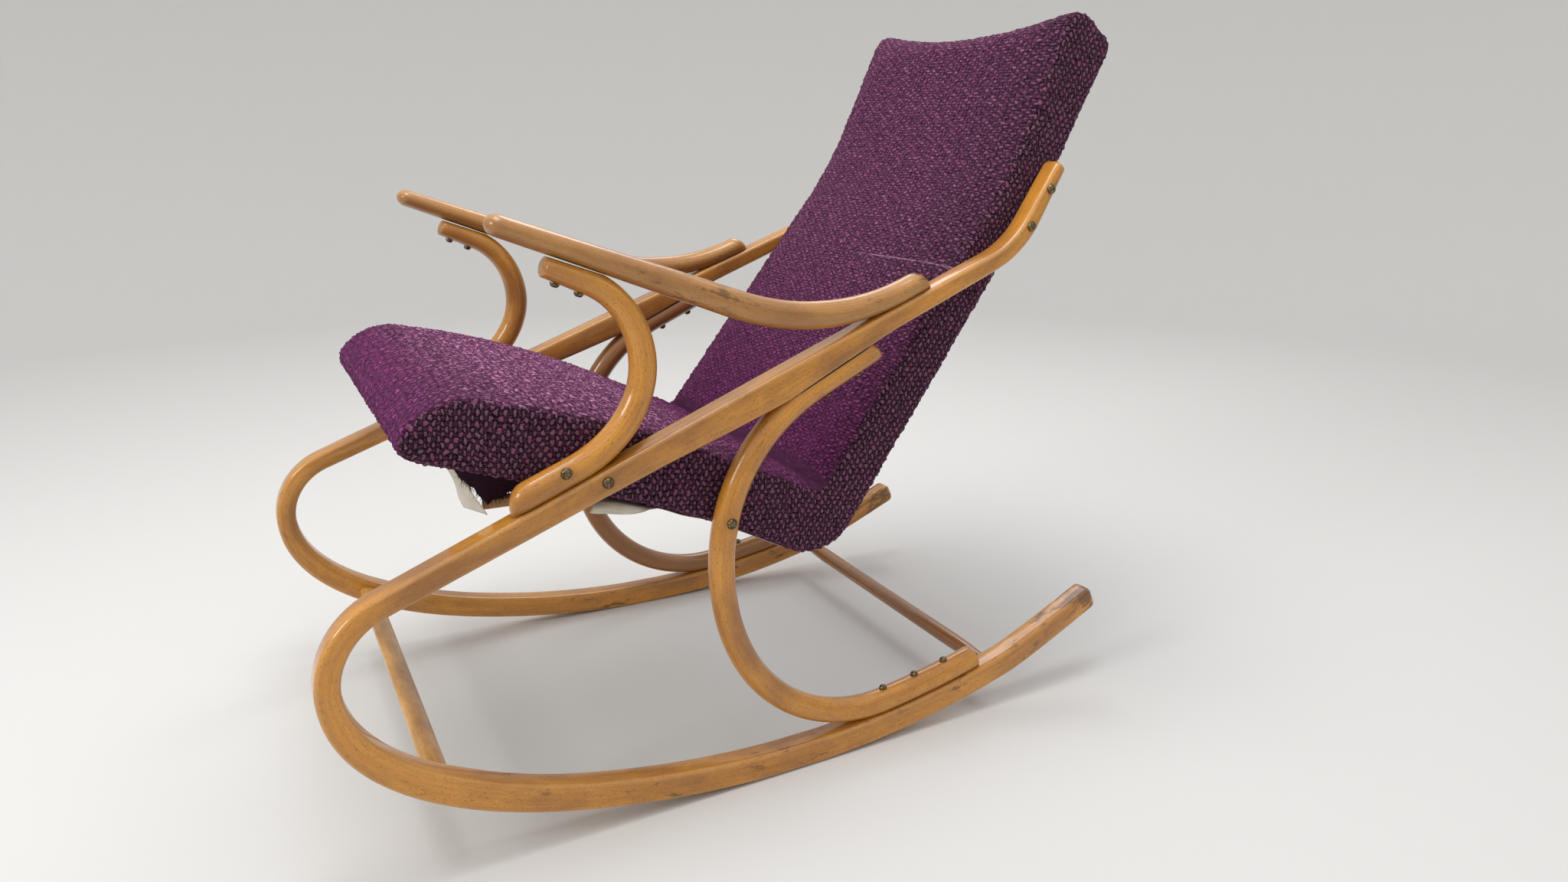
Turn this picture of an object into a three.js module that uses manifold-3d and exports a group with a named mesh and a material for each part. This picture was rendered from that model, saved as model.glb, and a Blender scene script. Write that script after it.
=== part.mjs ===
// Bentwood rocking chair: two bent side frames, an L-shaped upholstered shell between them, two stretchers
// Millimetres, Z up, the chair faces -Y, the sitter's left is +X, the origin lies on the floor at its middle

import * as THREE from 'three';
import { mergeVertices } from 'three/addons/utils/BufferGeometryUtils.js';
import Module from 'manifold-3d';

const wasm = await Module();
wasm.setup();

// Gap between touching pieces, and how far a round member is flattened where it lies on another
const clearance = 0.3;
const scarfDepth = 3;

// Side frames: they lean in towards the top and toe in towards the rear, about the rocker's floor contact
const footSpacing = 584;
const leanIn = 24;
const leanHeight = 720;
const toeIn = 12;
const toeLength = 530;
const memberWidth = 32;
const memberArris = 6;

// Rocker: reaches run along Y from the floor contact, rises run up from the floor
const rockerRadius = 1276;
const rockerDepth = 34.6;
const contactFlat = 60;
const rockerRearReach = 346;
const rockerFrontReach = 296;
const heelReach = 503;
const heelRise = 113.5;
const heelSlopeShare = 0.46;
const heelDepth = 33;
const heelRound = 12;

// Front loop and straight rail, measured on the outer edge of the bent length
const loopReach = 567;
const loopRise = 249.5;
const railStartReach = 501;
const railStartRise = 344.5;
const railBendReach = 325.5;
const railBendRise = 663.2;
const railBendRadius = 125;
const railEndReach = 394;
const railEndRise = 761;
const railDepth = 37;
const railEndDepth = 17.5;
const railEndRound = 9;
const rockerBendShares = [0.584, 0.692];
const loopBendShares = [0.57, 0.62];
const rockerBendDepthShares = [1, 1.04, 0.92, 0.77];
const railDepthShares = [0.68, 0.72, 0.76, 0.79, 0.85, 0.95, 1.03, 0.84, 0.69, 0.66, 0.62];

// Armrest: a straight grip that bends up to lie along the rail
const armTipReach = 341;
const armTipRise = 711.5;
const armBendReach = 41;
const armBendRise = 569;
const armBendRadius = 330;
const armEndReach = 180;
const armDepth = 34;
const armDepthShares = [0.69, 0.78, 0.9, 1];
const armWidth = 33;
const armEndDepth = 28;
const armTipRound = 13;
const armEndRound = 22;

// Arm support: a C of round wood from the rail up to the armrest
const supportDepth = 32;
const supportTipDepth = 24;
const supportFootReach = 326;
const supportLeaveReach = 274;
const supportRearReach = 191;
const supportRearRise = 556;
const supportArriveReach = 240;
const supportTipReach = 286;
const supportFootRound = 26;
const supportTipRound = 4;
const supportJointShare = 0.35;
const supportLowerShares = [0.583, 0.61];
const supportUpperShares = [0.6, 0.6];

// Rear hoop: a C of round wood from under the rail down on to the rocker
const hoopDepth = 33;
const hoopTopReach = 89;
const hoopTopDrop = 38;
const hoopLeaveReach = 20;
const hoopLeaveDrop = 43;
const hoopFrontReach = 102.7;
const hoopFrontRise = 290;
const hoopLandReach = 133;
const hoopFootReach = 282;
const hoopTopRound = 22;
const hoopFootRound = 12;
const hoopUpperShares = [0.65, 0.62];
const hoopLowerShares = [0.613, 0.502];

// Stretchers between the rockers
const frontStretcherReach = 452;
const frontStretcherWidth = 30;
const frontStretcherDepth = 17;
const rearStretcherReach = 321;
const rearStretcherDiameter = 24;
const rearStretcherEndDiameter = 18;
const stretcherTaper = 70;
const stretcherShoulder = 8;
const tenonDiameter = 12;
const tenonLength = 16;

// Domed bolts and screws of aged brass
const boltHeadDiameter = 13.5;
const boltHeadHeight = 4.5;
const boltDiameter = 6;
const boltLength = 56;
const screwHeadDiameter = 11;
const screwHeadHeight = 4.5;
const screwDiameter = 4;
const screwBite = 12;
const backBoltRuns = [31, 87];
const seatBolt = { run: 270, height: -13.3 };
const supportBolt = { run: 233, height: 20.2 };
const hoopBoltRun = 280;
const armScrewShares = [0.33, 0.9];
const hoopTopScrewShares = [0.25, 0.92];
const hoopFootScrewShares = [0.02, 0.37, 0.71];

// Shell outline in the side plane, corner by corner, each rounded to its radius
const noseSlant = 49;
const noseHeight = 64;
const noseBottom = { reach: -472, rise: 480, radius: 23 };
const noseTop = { reach: noseBottom.reach + noseSlant, rise: noseBottom.rise + noseHeight, radius: 72 };
const seatBend = { reach: -238, rise: 502, radius: 1100 };
const crease = { reach: 49, rise: 362, radius: 9 };
const backBend = { reach: 345, rise: 751, radius: 500 };
const topDepth = 75;
const topSlant = 60;
const topRear = { reach: 518, rise: 917, radius: 17 };
const topFront = { reach: topRear.reach - topDepth, rise: topRear.rise + topSlant, radius: 33 };
const rearBend = { reach: 420, rise: 745, radius: 560 };
const heel = { reach: 58, rise: 258, radius: 66 };
const bottomBend = { reach: -117, rise: 358, radius: 1200 };

// Shell: crown of the seat and back, sag of the top edge, rounding of the long edges
const coverWall = 4;
const edgeRound = 9;
const seatCrown = 9;
const backCrown = 8;
const topSag = 27;
const hemWidth = 34;
const hemLength = 46;
const overrun = 12;
const topSagShares = [0.86, 0.98];
const facingShare = 0.5;
const fitShare = 0.99;

// Inside the shell: foam, webbing and a frame of boards
const seatFoamDepth = 44;
const backFoamDepth = 28;
const strapDepth = 2;
const strapWidth = 50;
const seatStrapCount = 5;
const backStrapCount = 4;
const boardWidth = 24;
const crossRailDepth = 24;

// Dust cover under the seat, torn loose at its front
const dustDepth = 1.2;
const dustSag = 9;
const dustMargin = 14;
const dustFrontReach = -262;
const dustRearReach = -6;
const flapReach = 408;
const flapWidth = 46;
const flapHeight = 54;
const tearShares = [0.1, 0.5, 0.25, 0.9, 0.55, 1, 0.4, 0.7, 0];
const sagStartShare = 0.2;
const dustShares = [0, 0.12, 0.25, 0.37, 0.5, 0.62, 0.75, 0.87, 1];

// Finishes
const looks = {
  wood: { color: 0xc08a4e, roughness: 0.36, metalness: 0 },
  innerWood: { color: 0xb8925f, roughness: 0.8, metalness: 0 },
  brass: { color: 0x7d6440, roughness: 0.42, metalness: 1 },
  fabric: { color: 0x642a58, roughness: 0.95, metalness: 0 },
  foam: { color: 0xd9c68c, roughness: 1, metalness: 0 },
  webbing: { color: 0x3b2c24, roughness: 0.9, metalness: 0 },
  lining: { color: 0xe2dccf, roughness: 0.95, metalness: 0 },
};

const chair = new THREE.Group();

// Points and lines of the side plane, where x is the reach and y the rise
function at(reach, rise) {
  return new THREE.Vector2(reach, rise);
}

function toward(from, to) {
  return to.clone().sub(from).normalize();
}

function rightOf(heading) {
  return at(heading.y, -heading.x);
}

function along(from, heading, distance) {
  return from.clone().addScaledVector(heading, distance);
}

function crossing(from, heading, other, otherHeading) {
  const gap = other.clone().sub(from);
  const distance = gap.cross(otherHeading) / heading.cross(otherHeading);
  return along(from, heading, distance);
}

// A bend between two tangents, its handles given as shares of the way to their crossing
function bend(start, corner, end, [startShare, endShare]) {
  const leave = start.clone().lerp(corner, startShare);
  const arrive = end.clone().lerp(corner, endShare);
  return new THREE.CubicBezierCurve(start, leave, arrive, end);
}

function turnAt(before, corner, after) {
  const cosine = toward(corner, before).dot(toward(corner, after));
  return Math.PI - Math.acos(THREE.MathUtils.clamp(cosine, -1, 1));
}

// A corner rounded to a radius
function roundedCorner(before, corner, after, radius) {
  const back = toward(corner, before);
  const on = toward(corner, after);
  const turn = turnAt(before, corner, after);
  const reach = radius * Math.tan(turn / 2);
  const share = (4 * Math.tan(turn / 4)) / (3 * Math.tan(turn / 2));
  return bend(along(corner, back, reach), corner, along(corner, on, reach), [share, share]);
}

// A value read from an evenly spaced table
function readTable(values, share) {
  const place = share * (values.length - 1);
  const first = Math.min(Math.floor(place), values.length - 2);
  return THREE.MathUtils.lerp(values[first], values[first + 1], place - first);
}

// Stations along a bent member: its place and heading in the side plane, and its depth there
function layStations(stretches) {
  const stations = [];
  for (const { curve, steps, depths } of stretches) {
    for (let step = stations.length ? 1 : 0; step <= steps; step += 1) {
      const share = step / steps;
      const heading = curve.getTangent(share).normalize();
      stations.push({ place: curve.getPoint(share), heading, depth: readTable(depths, share) });
    }
  }
  return stations;
}

// Sections of a member: across is X, and up is square to the member in the side plane
function roundedSection(width, depth, radius) {
  const points = [];
  const quarter = Math.PI / 2;
  for (let corner = 0; corner < 4; corner += 1) {
    const sideways = corner === 0 || corner === 3 ? 1 : -1;
    const upward = corner < 2 ? 1 : -1;
    for (let step = 0; step <= 2; step += 1) {
      const angle = quarter * (corner + step / 2);
      const across = sideways * (width / 2 - radius) + radius * Math.cos(angle);
      const up = upward * (depth / 2 - radius) + radius * Math.sin(angle);
      points.push({ across, up });
    }
  }
  return points;
}

function roundSection(width, depth, sides) {
  const points = [];
  for (let side = 0; side < sides; side += 1) {
    const angle = (2 * Math.PI * (side + 0.5)) / sides;
    points.push({ across: (width / 2) * Math.cos(angle), up: (depth / 2) * Math.sin(angle) });
  }
  return points;
}

// The triangles that close a flat ring, which may turn inwards in places
function closeRing(points) {
  const normal = new THREE.Vector3();
  points.forEach((point, i) => {
    normal.add(point.clone().cross(points[(i + 1) % points.length]));
  });
  const across = points[1].clone().sub(points[0]).normalize();
  const up = normal.normalize().cross(across);
  return wasm.triangulate([points.map((point) => [point.dot(across), point.dot(up)])]);
}

// A closed body through rings of points, all with the same count
function loft(rings) {
  const count = rings[0].length;
  const positions = [];
  const index = [];
  for (const ring of rings) {
    for (const point of ring) {
      positions.push(point.x, point.y, point.z);
    }
  }
  for (let ring = 0; ring + 1 < rings.length; ring += 1) {
    for (let side = 0; side < count; side += 1) {
      const next = (side + 1) % count;
      const a = ring * count + side;
      const b = ring * count + next;
      index.push(a, a + count, b);
      index.push(b, a + count, b + count);
    }
  }
  for (const [ring, flip] of [[0, false], [rings.length - 1, true]]) {
    for (const [first, second, third] of closeRing(rings[ring])) {
      const a = ring * count + first;
      const b = ring * count + (flip ? third : second);
      const c = ring * count + (flip ? second : third);
      index.push(a, b, c);
    }
  }
  const geometry = new THREE.BufferGeometry();
  geometry.setAttribute('position', new THREE.Float32BufferAttribute(positions, 3));
  geometry.setIndex(index);
  return geometry;
}

// The ring of one station, shrunk by a scale towards its middle or towards its seated side
function stationRing(station, section, scale, advance, seat) {
  const up = rightOf(station.heading).negate();
  const shift = seat * (station.depth / 2) * (1 - scale);
  const middle = along(station.place, station.heading, advance).addScaledVector(up, shift);
  return section(station).map(({ across, up: rise }) => {
    const place = along(middle, up, rise * scale);
    return new THREE.Vector3(across * scale, place.x, place.y);
  });
}

// A bent member with rounded ends; a seat of 1 or -1 keeps an end's left or right side in line
function bentBar(stations, section, { rounds, seats = [0, 0] }) {
  const rings = stations.map((station) => stationRing(station, section, 1, 0, 0));
  const lastAngle = THREE.MathUtils.degToRad(80);
  for (let step = 1; step <= 3; step += 1) {
    const angle = (lastAngle * step) / 3;
    const scale = Math.cos(angle);
    const advance = Math.sin(angle);
    const first = stations[0];
    const last = stations[stations.length - 1];
    rings.unshift(stationRing(first, section, scale, -advance * rounds[0], seats[0]));
    rings.push(stationRing(last, section, scale, advance * rounds[1], seats[1]));
  }
  return loft(rings);
}

// Shared vertices merged, and the faces that shrink to nothing at a pole left out
function weld(geometry) {
  const bare = geometry.clone();
  bare.deleteAttribute('normal');
  bare.deleteAttribute('uv');
  const merged = mergeVertices(bare);
  const faces = [];
  for (let i = 0; i < merged.index.count; i += 3) {
    const [a, b, c] = merged.index.array.slice(i, i + 3);
    if (a !== b && b !== c && c !== a) {
      faces.push(a, b, c);
    }
  }
  merged.setIndex(faces);
  return merged;
}

// Joining and cutting of closed meshes
function toSolid(geometry) {
  const merged = weld(geometry);
  const vertProperties = new Float32Array(merged.attributes.position.array);
  const triVerts = new Uint32Array(merged.index.array);
  return new wasm.Manifold(new wasm.Mesh({ numProp: 3, vertProperties, triVerts }));
}

function toGeometry(solid) {
  const { vertProperties, triVerts } = solid.getMesh();
  const geometry = new THREE.BufferGeometry();
  geometry.setAttribute('position', new THREE.BufferAttribute(vertProperties, 3));
  geometry.setIndex(new THREE.BufferAttribute(triVerts, 1));
  return geometry;
}

function cut(geometry, cutters) {
  let solid = toSolid(geometry);
  for (const cutter of cutters) {
    solid = solid.subtract(toSolid(cutter));
  }
  return toGeometry(solid);
}

function keepWithin(geometry, bounds) {
  return toGeometry(toSolid(geometry).intersect(toSolid(bounds)));
}

// Half the distance between the mid planes of the side frames, at a reach and a rise
function halfSpacing(reach, rise) {
  return footSpacing / 2 - (leanIn * rise) / leanHeight - (toeIn * reach) / toeLength;
}

function halfShell(reach, rise) {
  return halfSpacing(reach, rise) - memberWidth / 2 - clearance;
}

// Moves every point of a geometry by a rule
function remap(geometry, rule) {
  const moved = geometry.clone();
  const positions = moved.attributes.position;
  for (let i = 0; i < positions.count; i += 1) {
    positions.setX(i, rule(positions.getX(i), positions.getY(i), positions.getZ(i)));
  }
  return moved;
}

function flipFaces(geometry) {
  const index = geometry.index.array;
  for (let i = 0; i < index.length; i += 3) {
    [index[i], index[i + 1]] = [index[i + 1], index[i]];
  }
  return geometry;
}

function addMesh(name, geometry, look) {
  const merged = geometry.index ? geometry : mergeVertices(geometry);
  merged.computeVertexNormals();
  const mesh = new THREE.Mesh(merged, new THREE.MeshStandardMaterial(look));
  mesh.name = name;
  chair.add(mesh);
}

// A piece of both side frames, drawn about the frame's mid plane with x pointing out of the chair
function addToSides(name, geometry, look) {
  const left = remap(geometry, (x, y, z) => x + halfSpacing(y, z));
  const right = flipFaces(remap(geometry, (x, y, z) => -x - halfSpacing(y, z)));
  addMesh(`left_${name}`, left, look);
  addMesh(`right_${name}`, right, look);
}

// A piece that spans the shell, drawn from x = -1 to 1 and fitted to the shell less an inset
function fitAcross(geometry, inset) {
  return remap(geometry, (x, y, z) => x * (halfShell(y, z) - inset));
}

// An outline of the side plane drawn out between two places across
function slab(points, from, to) {
  const shape = new THREE.Shape(points);
  const solid = new THREE.ExtrudeGeometry(shape, { depth: to - from, bevelEnabled: false });
  const positions = solid.attributes.position;
  for (let i = 0; i < positions.count; i += 1) {
    const [reach, rise, across] = [positions.getX(i), positions.getY(i), positions.getZ(i)];
    positions.setXYZ(i, from + across, reach, rise);
  }
  return weld(solid);
}

// Rocker's circle about the floor contact, flattened there by its worn facet
const rockerCentreRise = Math.sqrt(rockerRadius ** 2 - (contactFlat / 2) ** 2);

function rockerArc(radius, fromReach, toReach) {
  const lowest = -Math.PI / 2;
  const from = lowest + Math.asin(fromReach / radius);
  const to = lowest + Math.asin(toReach / radius);
  return new THREE.EllipseCurve(0, rockerCentreRise, radius, radius, from, to, to < from);
}

function curveEnd(curve, share) {
  return { place: curve.getPoint(share), heading: curve.getTangent(share).normalize() };
}

// Side rail: rear tip, rocker, front loop, straight rail, upper bend and upper end
function railStations() {
  const rearArc = rockerArc(rockerRadius, rockerRearReach, contactFlat / 2);
  const frontArc = rockerArc(rockerRadius, -contactFlat / 2, -rockerFrontReach);
  const rear = curveEnd(rearArc, 0);
  const front = curveEnd(frontArc, 1);
  const tip = at(heelReach, heelRise);
  const tipHeading = at(-1, -heelSlopeShare);
  const heelCorner = crossing(tip, tipHeading, rear.place, rear.heading);
  const loop = at(-loopReach, loopRise);
  const upright = at(0, 1);
  const start = at(-railStartReach, railStartRise);
  const corner = at(railBendReach, railBendRise);
  const end = at(railEndReach, railEndRise);
  const railHeading = toward(start, corner);
  const lowerCorner = crossing(front.place, front.heading, loop, upright);
  const upperCorner = crossing(loop, upright, start, railHeading);
  const upperBend = roundedCorner(start, corner, end, railBendRadius);
  const contact = [at(contactFlat / 2, 0), at(-contactFlat / 2, 0)];
  const loopDepths = rockerBendDepthShares.map((share) => share * rockerDepth);
  const railDepths = railDepthShares.map((share) => share * railDepth);
  const [startDepth, bendDepth] = [railDepths[0], railDepths[railDepths.length - 1]];
  const frontDepth = loopDepths[loopDepths.length - 1];
  const rearBendCurve = bend(tip, heelCorner, rear.place, rockerBendShares);
  const lowerBendCurve = bend(front.place, lowerCorner, loop, rockerBendShares);
  const upperLoopCurve = bend(loop, upperCorner, start, loopBendShares);
  const straight = new THREE.LineCurve(start, upperBend.v0);
  const upperEnd = new THREE.LineCurve(upperBend.v3, end);
  const outer = layStations([
    { curve: rearBendCurve, steps: 4, depths: [heelDepth, rockerDepth] },
    { curve: rearArc, steps: 7, depths: [rockerDepth, rockerDepth] },
    { curve: new THREE.LineCurve(...contact), steps: 1, depths: [rockerDepth, rockerDepth] },
    { curve: frontArc, steps: 6, depths: [rockerDepth, rockerDepth] },
    { curve: lowerBendCurve, steps: 14, depths: loopDepths },
    { curve: upperLoopCurve, steps: 9, depths: [frontDepth, startDepth] },
    { curve: straight, steps: railDepths.length - 1, depths: railDepths },
    { curve: upperBend, steps: 6, depths: [bendDepth, bendDepth] },
    { curve: upperEnd, steps: 2, depths: [bendDepth, railEndDepth] },
  ]);
  return outer.map(({ place, heading, depth }) => {
    return { place: along(place, rightOf(heading), depth / 2), heading, depth };
  });
}

const rail = railStations();
const railLine = at(-railStartReach, railStartRise);
const railHeading = toward(railLine, at(railBendReach, railBendRise));
const aboveRail = rightOf(railHeading).negate();

// A point on the rail's top line at a reach, moved square to the rail by a height
function overRail(reach, height) {
  const top = crossing(railLine, railHeading, at(reach, 0), at(0, 1));
  return along(top, aboveRail, height);
}

// Armrest: straight grip, bend, and the tail that lies along the rail
const armTip = at(-armTipReach, armTipRise);
const armHeading = toward(armTip, at(armBendReach, armBendRise));
const armTail = overRail(armEndReach, armEndDepth / 2 + clearance - scarfDepth);
const armCorner = crossing(armTip, armHeading, armTail, railHeading);
const armBend = roundedCorner(armTip, armCorner, armTail, armBendRadius);
const gripDepths = armDepthShares.map((share) => share * armDepth);
const armStations = layStations([
  { curve: new THREE.LineCurve(armTip, armBend.v0), steps: 6, depths: gripDepths },
  { curve: armBend, steps: 10, depths: [armDepth, armDepth, armEndDepth] },
  { curve: new THREE.LineCurve(armBend.v3, armTail), steps: 2, depths: [armEndDepth, armEndDepth] },
]);

// Arm support: foot on the rail, the C, and the tip under the armrest
const supportFoot = overRail(-supportFootReach, supportDepth / 2 + clearance - scarfDepth);
const supportLeave = overRail(-supportLeaveReach, supportDepth / 2 + clearance - scarfDepth);
const supportRear = at(-supportRearReach, supportRearRise);
const armJointDepth = readTable(gripDepths, supportJointShare);
const supportDrop = armJointDepth / 2 + supportDepth / 2 + clearance - scarfDepth;

function underArm(reach, drop) {
  const middle = crossing(armTip, armHeading, at(-reach, 0), at(0, 1));
  return along(middle, rightOf(armHeading), drop);
}

const supportArrive = underArm(supportArriveReach, supportDrop);
const supportTip = underArm(supportTipReach, supportDrop - (supportDepth - supportTipDepth) / 4);
const supportTipHeading = toward(supportArrive, supportTip);
const supportLowCorner = crossing(supportLeave, railHeading, supportRear, at(0, 1));
const supportHighCorner = crossing(supportArrive, supportTipHeading, supportRear, at(0, 1));
const supportLower = bend(supportLeave, supportLowCorner, supportRear, supportLowerShares);
const supportUpper = bend(supportRear, supportHighCorner, supportArrive, supportUpperShares);
const supportMidDepth = (supportDepth + supportTipDepth) / 2;
const supportTipStretch = {
  curve: new THREE.LineCurve(supportArrive, supportTip),
  steps: 2,
  depths: [supportMidDepth, supportTipDepth],
};
const supportStations = layStations([
  { curve: new THREE.LineCurve(supportFoot, supportLeave), steps: 2, depths: [supportDepth, supportDepth] },
  { curve: supportLower, steps: 9, depths: [supportDepth, supportDepth] },
  { curve: supportUpper, steps: 10, depths: [supportDepth, supportMidDepth] },
  supportTipStretch,
]);

// Rear hoop: top under the rail, the C, and the foot along the rocker
const hoopTop = overRail(hoopTopReach, -hoopTopDrop);
const hoopLeave = overRail(hoopLeaveReach, -hoopLeaveDrop);
const hoopFront = at(-hoopFrontReach, hoopFrontRise);
const hoopRadius = rockerRadius - rockerDepth - hoopDepth / 2 - clearance + scarfDepth;
const hoopFootArc = rockerArc(hoopRadius, hoopLandReach, hoopFootReach);
const hoopLand = curveEnd(hoopFootArc, 0);
const hoopHighCorner = crossing(hoopLeave, toward(hoopTop, hoopLeave), hoopFront, at(0, 1));
const hoopLowCorner = crossing(hoopFront, at(0, 1), hoopLand.place, hoopLand.heading);
const hoopTopStretch = {
  curve: new THREE.LineCurve(hoopTop, hoopLeave),
  steps: 2,
  depths: [hoopDepth, hoopDepth],
};
const hoopFootStretch = { curve: hoopFootArc, steps: 4, depths: [hoopDepth, hoopDepth] };
const hoopStations = layStations([
  hoopTopStretch,
  { curve: bend(hoopLeave, hoopHighCorner, hoopFront, hoopUpperShares), steps: 10, depths: [hoopDepth, hoopDepth] },
  { curve: bend(hoopFront, hoopLowCorner, hoopLand.place, hoopLowerShares), steps: 13, depths: [hoopDepth, hoopDepth] },
  hoopFootStretch,
]);

// Bolts and screws: a domed head on the surface and a shank below it, turned about Y
function fastener(headDiameter, headHeight, diameter, length, gap) {
  const profile = [at(0, -length), at(diameter / 2 + gap, -length)];
  profile.push(at(diameter / 2 + gap, gap ? headHeight : clearance));
  if (gap) {
    profile.push(at(0, headHeight));
    return new THREE.LatheGeometry(profile, 8);
  }
  profile.push(at(headDiameter / 2, clearance));
  for (const share of [0.35, 0.7]) {
    const angle = (share * Math.PI) / 2;
    profile.push(at((headDiameter / 2) * Math.cos(angle), clearance + headHeight * Math.sin(angle)));
  }
  profile.push(at(0, clearance + headHeight));
  return new THREE.LatheGeometry(profile, 10);
}

function setAt(geometry, place, outward) {
  const turn = new THREE.Quaternion().setFromUnitVectors(new THREE.Vector3(0, 1, 0), outward);
  const placed = geometry.clone().applyQuaternion(turn);
  placed.translate(place.x, place.y, place.z);
  return weld(placed);
}

// Every fastener of a side frame: its name, seat, outward direction and sizes
const fasteners = [];

function midAlong(stations, distance) {
  let left = distance;
  let i = 1;
  let step = stations[0].place.distanceTo(stations[1].place);
  while (left > step && i < stations.length - 1) {
    left -= step;
    i += 1;
    step = stations[i - 1].place.distanceTo(stations[i].place);
  }
  return along(stations[i - 1].place, toward(stations[i - 1].place, stations[i].place), left);
}

function byRail({ run, height }) {
  return along(along(railLine, railHeading, run), aboveRail, height);
}

function addBolt(name, seat) {
  const place = new THREE.Vector3(memberWidth / 2, seat.x, seat.y);
  fasteners.push({ name, place, outward: new THREE.Vector3(1, 0, 0), bolt: true });
}

function addScrew(name, stretch, share, side) {
  const place = stretch.curve.getPoint(share);
  const outward = rightOf(stretch.curve.getTangent(share).normalize()).multiplyScalar(side);
  const depth = readTable(stretch.depths, share);
  const seat = along(place, outward, depth / 2);
  fasteners.push({
    name,
    place: new THREE.Vector3(0, seat.x, seat.y),
    outward: new THREE.Vector3(0, outward.x, outward.y),
    length: depth - scarfDepth + screwBite,
  });
}

const railFromTop = [...rail].reverse();
addBolt('back_bolt_upper', midAlong(railFromTop, backBoltRuns[0]));
addBolt('back_bolt_lower', midAlong(railFromTop, backBoltRuns[1]));
addBolt('seat_bolt', byRail(seatBolt));
addBolt('support_bolt', byRail(supportBolt));
addBolt('hoop_bolt', midAlong(hoopStations, hoopBoltRun));
armScrewShares.forEach((share, i) => addScrew(`armrest_screw_${i + 1}`, supportTipStretch, 1 - share, -1));
hoopTopScrewShares.forEach((share, i) => addScrew(`hoop_top_screw_${i + 1}`, hoopTopStretch, share, -1));
hoopFootScrewShares.forEach((share, i) => addScrew(`hoop_foot_screw_${i + 1}`, hoopFootStretch, share, -1));

function shape({ bolt, length }, gap) {
  if (bolt) {
    return fastener(boltHeadDiameter, boltHeadHeight, boltDiameter, boltLength, gap);
  }
  return fastener(screwHeadDiameter, screwHeadHeight, screwDiameter, length, gap);
}

const holes = fasteners.map((item) => setAt(shape(item, clearance), item.place, item.outward));

// A stretcher along X: a bar with shoulders and tenons, drawn about its own middle
function stretcher(reach, rise, tilt, sections) {
  const rings = [];
  const up = at(-Math.sin(tilt), Math.cos(tilt));
  const forward = at(Math.cos(tilt), Math.sin(tilt));
  for (const side of [-1, 1]) {
    const ends = side < 0 ? sections : [...sections].reverse();
    for (const { back, points } of ends) {
      rings.push(points.map((point) => {
        const place = along(along(at(reach, rise), forward, -point.across), up, point.up);
        return new THREE.Vector3(side * (halfShell(place.x, place.y) - back), place.x, place.y);
      }));
    }
  }
  return loft(rings);
}

// Tenon, shoulder and body of a stretcher, from its tip to its full section
function stretcherSections(width, depth, endWidth, endDepth, sides) {
  const tenon = roundSection(tenonDiameter, tenonDiameter, sides);
  const end = roundSection(endWidth, endDepth, sides);
  const body = roundSection(width, depth, sides);
  return [
    { back: -tenonLength, points: tenon },
    { back: 0, points: tenon },
    { back: 0, points: end },
    { back: stretcherShoulder, points: end },
    { back: stretcherTaper, points: body },
  ];
}

function tenonHole(reach, rise) {
  const gap = 2 * clearance;
  const hole = new THREE.CylinderGeometry(1, 1, 1, 12);
  hole.scale((tenonDiameter + gap) / 2, tenonLength + gap + overrun, (tenonDiameter + gap) / 2);
  hole.rotateZ(Math.PI / 2);
  hole.translate(-memberWidth / 2 + (tenonLength + gap - overrun) / 2, reach, rise);
  return hole;
}

// Side frames
const railBar = bentBar(rail, ({ depth }) => roundedSection(memberWidth, depth, memberArris), {
  rounds: [heelRound, railEndRound],
});
const railSpace = bentBar(rail, ({ depth }) => {
  const wide = memberWidth + 2 * memberWidth;
  return roundedSection(wide, depth + 2 * clearance, memberArris);
}, { rounds: [heelRound, railEndRound] });

function railMiddle(reach, stations) {
  const nearest = stations.reduce((best, station) => {
    return Math.abs(station.place.x - reach) < Math.abs(best.place.x - reach) ? station : best;
  });
  return crossing(nearest.place, nearest.heading, at(reach, 0), at(0, 1));
}

const rockerStations = rail.slice(0, rail.length / 2);
const frontSeat = railMiddle(-frontStretcherReach, rockerStations);
const rearSeat = railMiddle(rearStretcherReach, rockerStations);
const tenonHoles = [tenonHole(frontSeat.x, frontSeat.y), tenonHole(rearSeat.x, rearSeat.y)];
addToSides('side_rail', cut(railBar, [...holes, ...tenonHoles]), looks.wood);

const armBar = bentBar(armStations, ({ depth }) => roundSection(armWidth, depth, 14), {
  rounds: [armTipRound, armEndRound],
  seats: [0, -1],
});
addToSides('armrest', cut(armBar, [railSpace, ...holes]), looks.wood);

const armSpace = bentBar(armStations, ({ depth }) => {
  return roundSection(armWidth + 2 * clearance, depth + 2 * clearance, 14);
}, { rounds: [armTipRound, armEndRound], seats: [0, -1] });
const supportBar = bentBar(supportStations, ({ depth }) => {
  return roundSection(Math.min(depth, supportDepth), depth, 14);
}, { rounds: [supportFootRound, supportTipRound], seats: [-1, 0] });
addToSides('arm_support', cut(supportBar, [railSpace, armSpace, ...holes]), looks.wood);

const hoopBar = bentBar(hoopStations, ({ depth }) => roundSection(memberWidth, depth, 14), {
  rounds: [hoopTopRound, hoopFootRound],
  seats: [1, -1],
});
addToSides('rear_hoop', cut(hoopBar, [railSpace, ...holes]), looks.wood);

for (const item of fasteners) {
  addToSides(item.name, setAt(shape(item, 0), item.place, item.outward), looks.brass);
}

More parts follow.
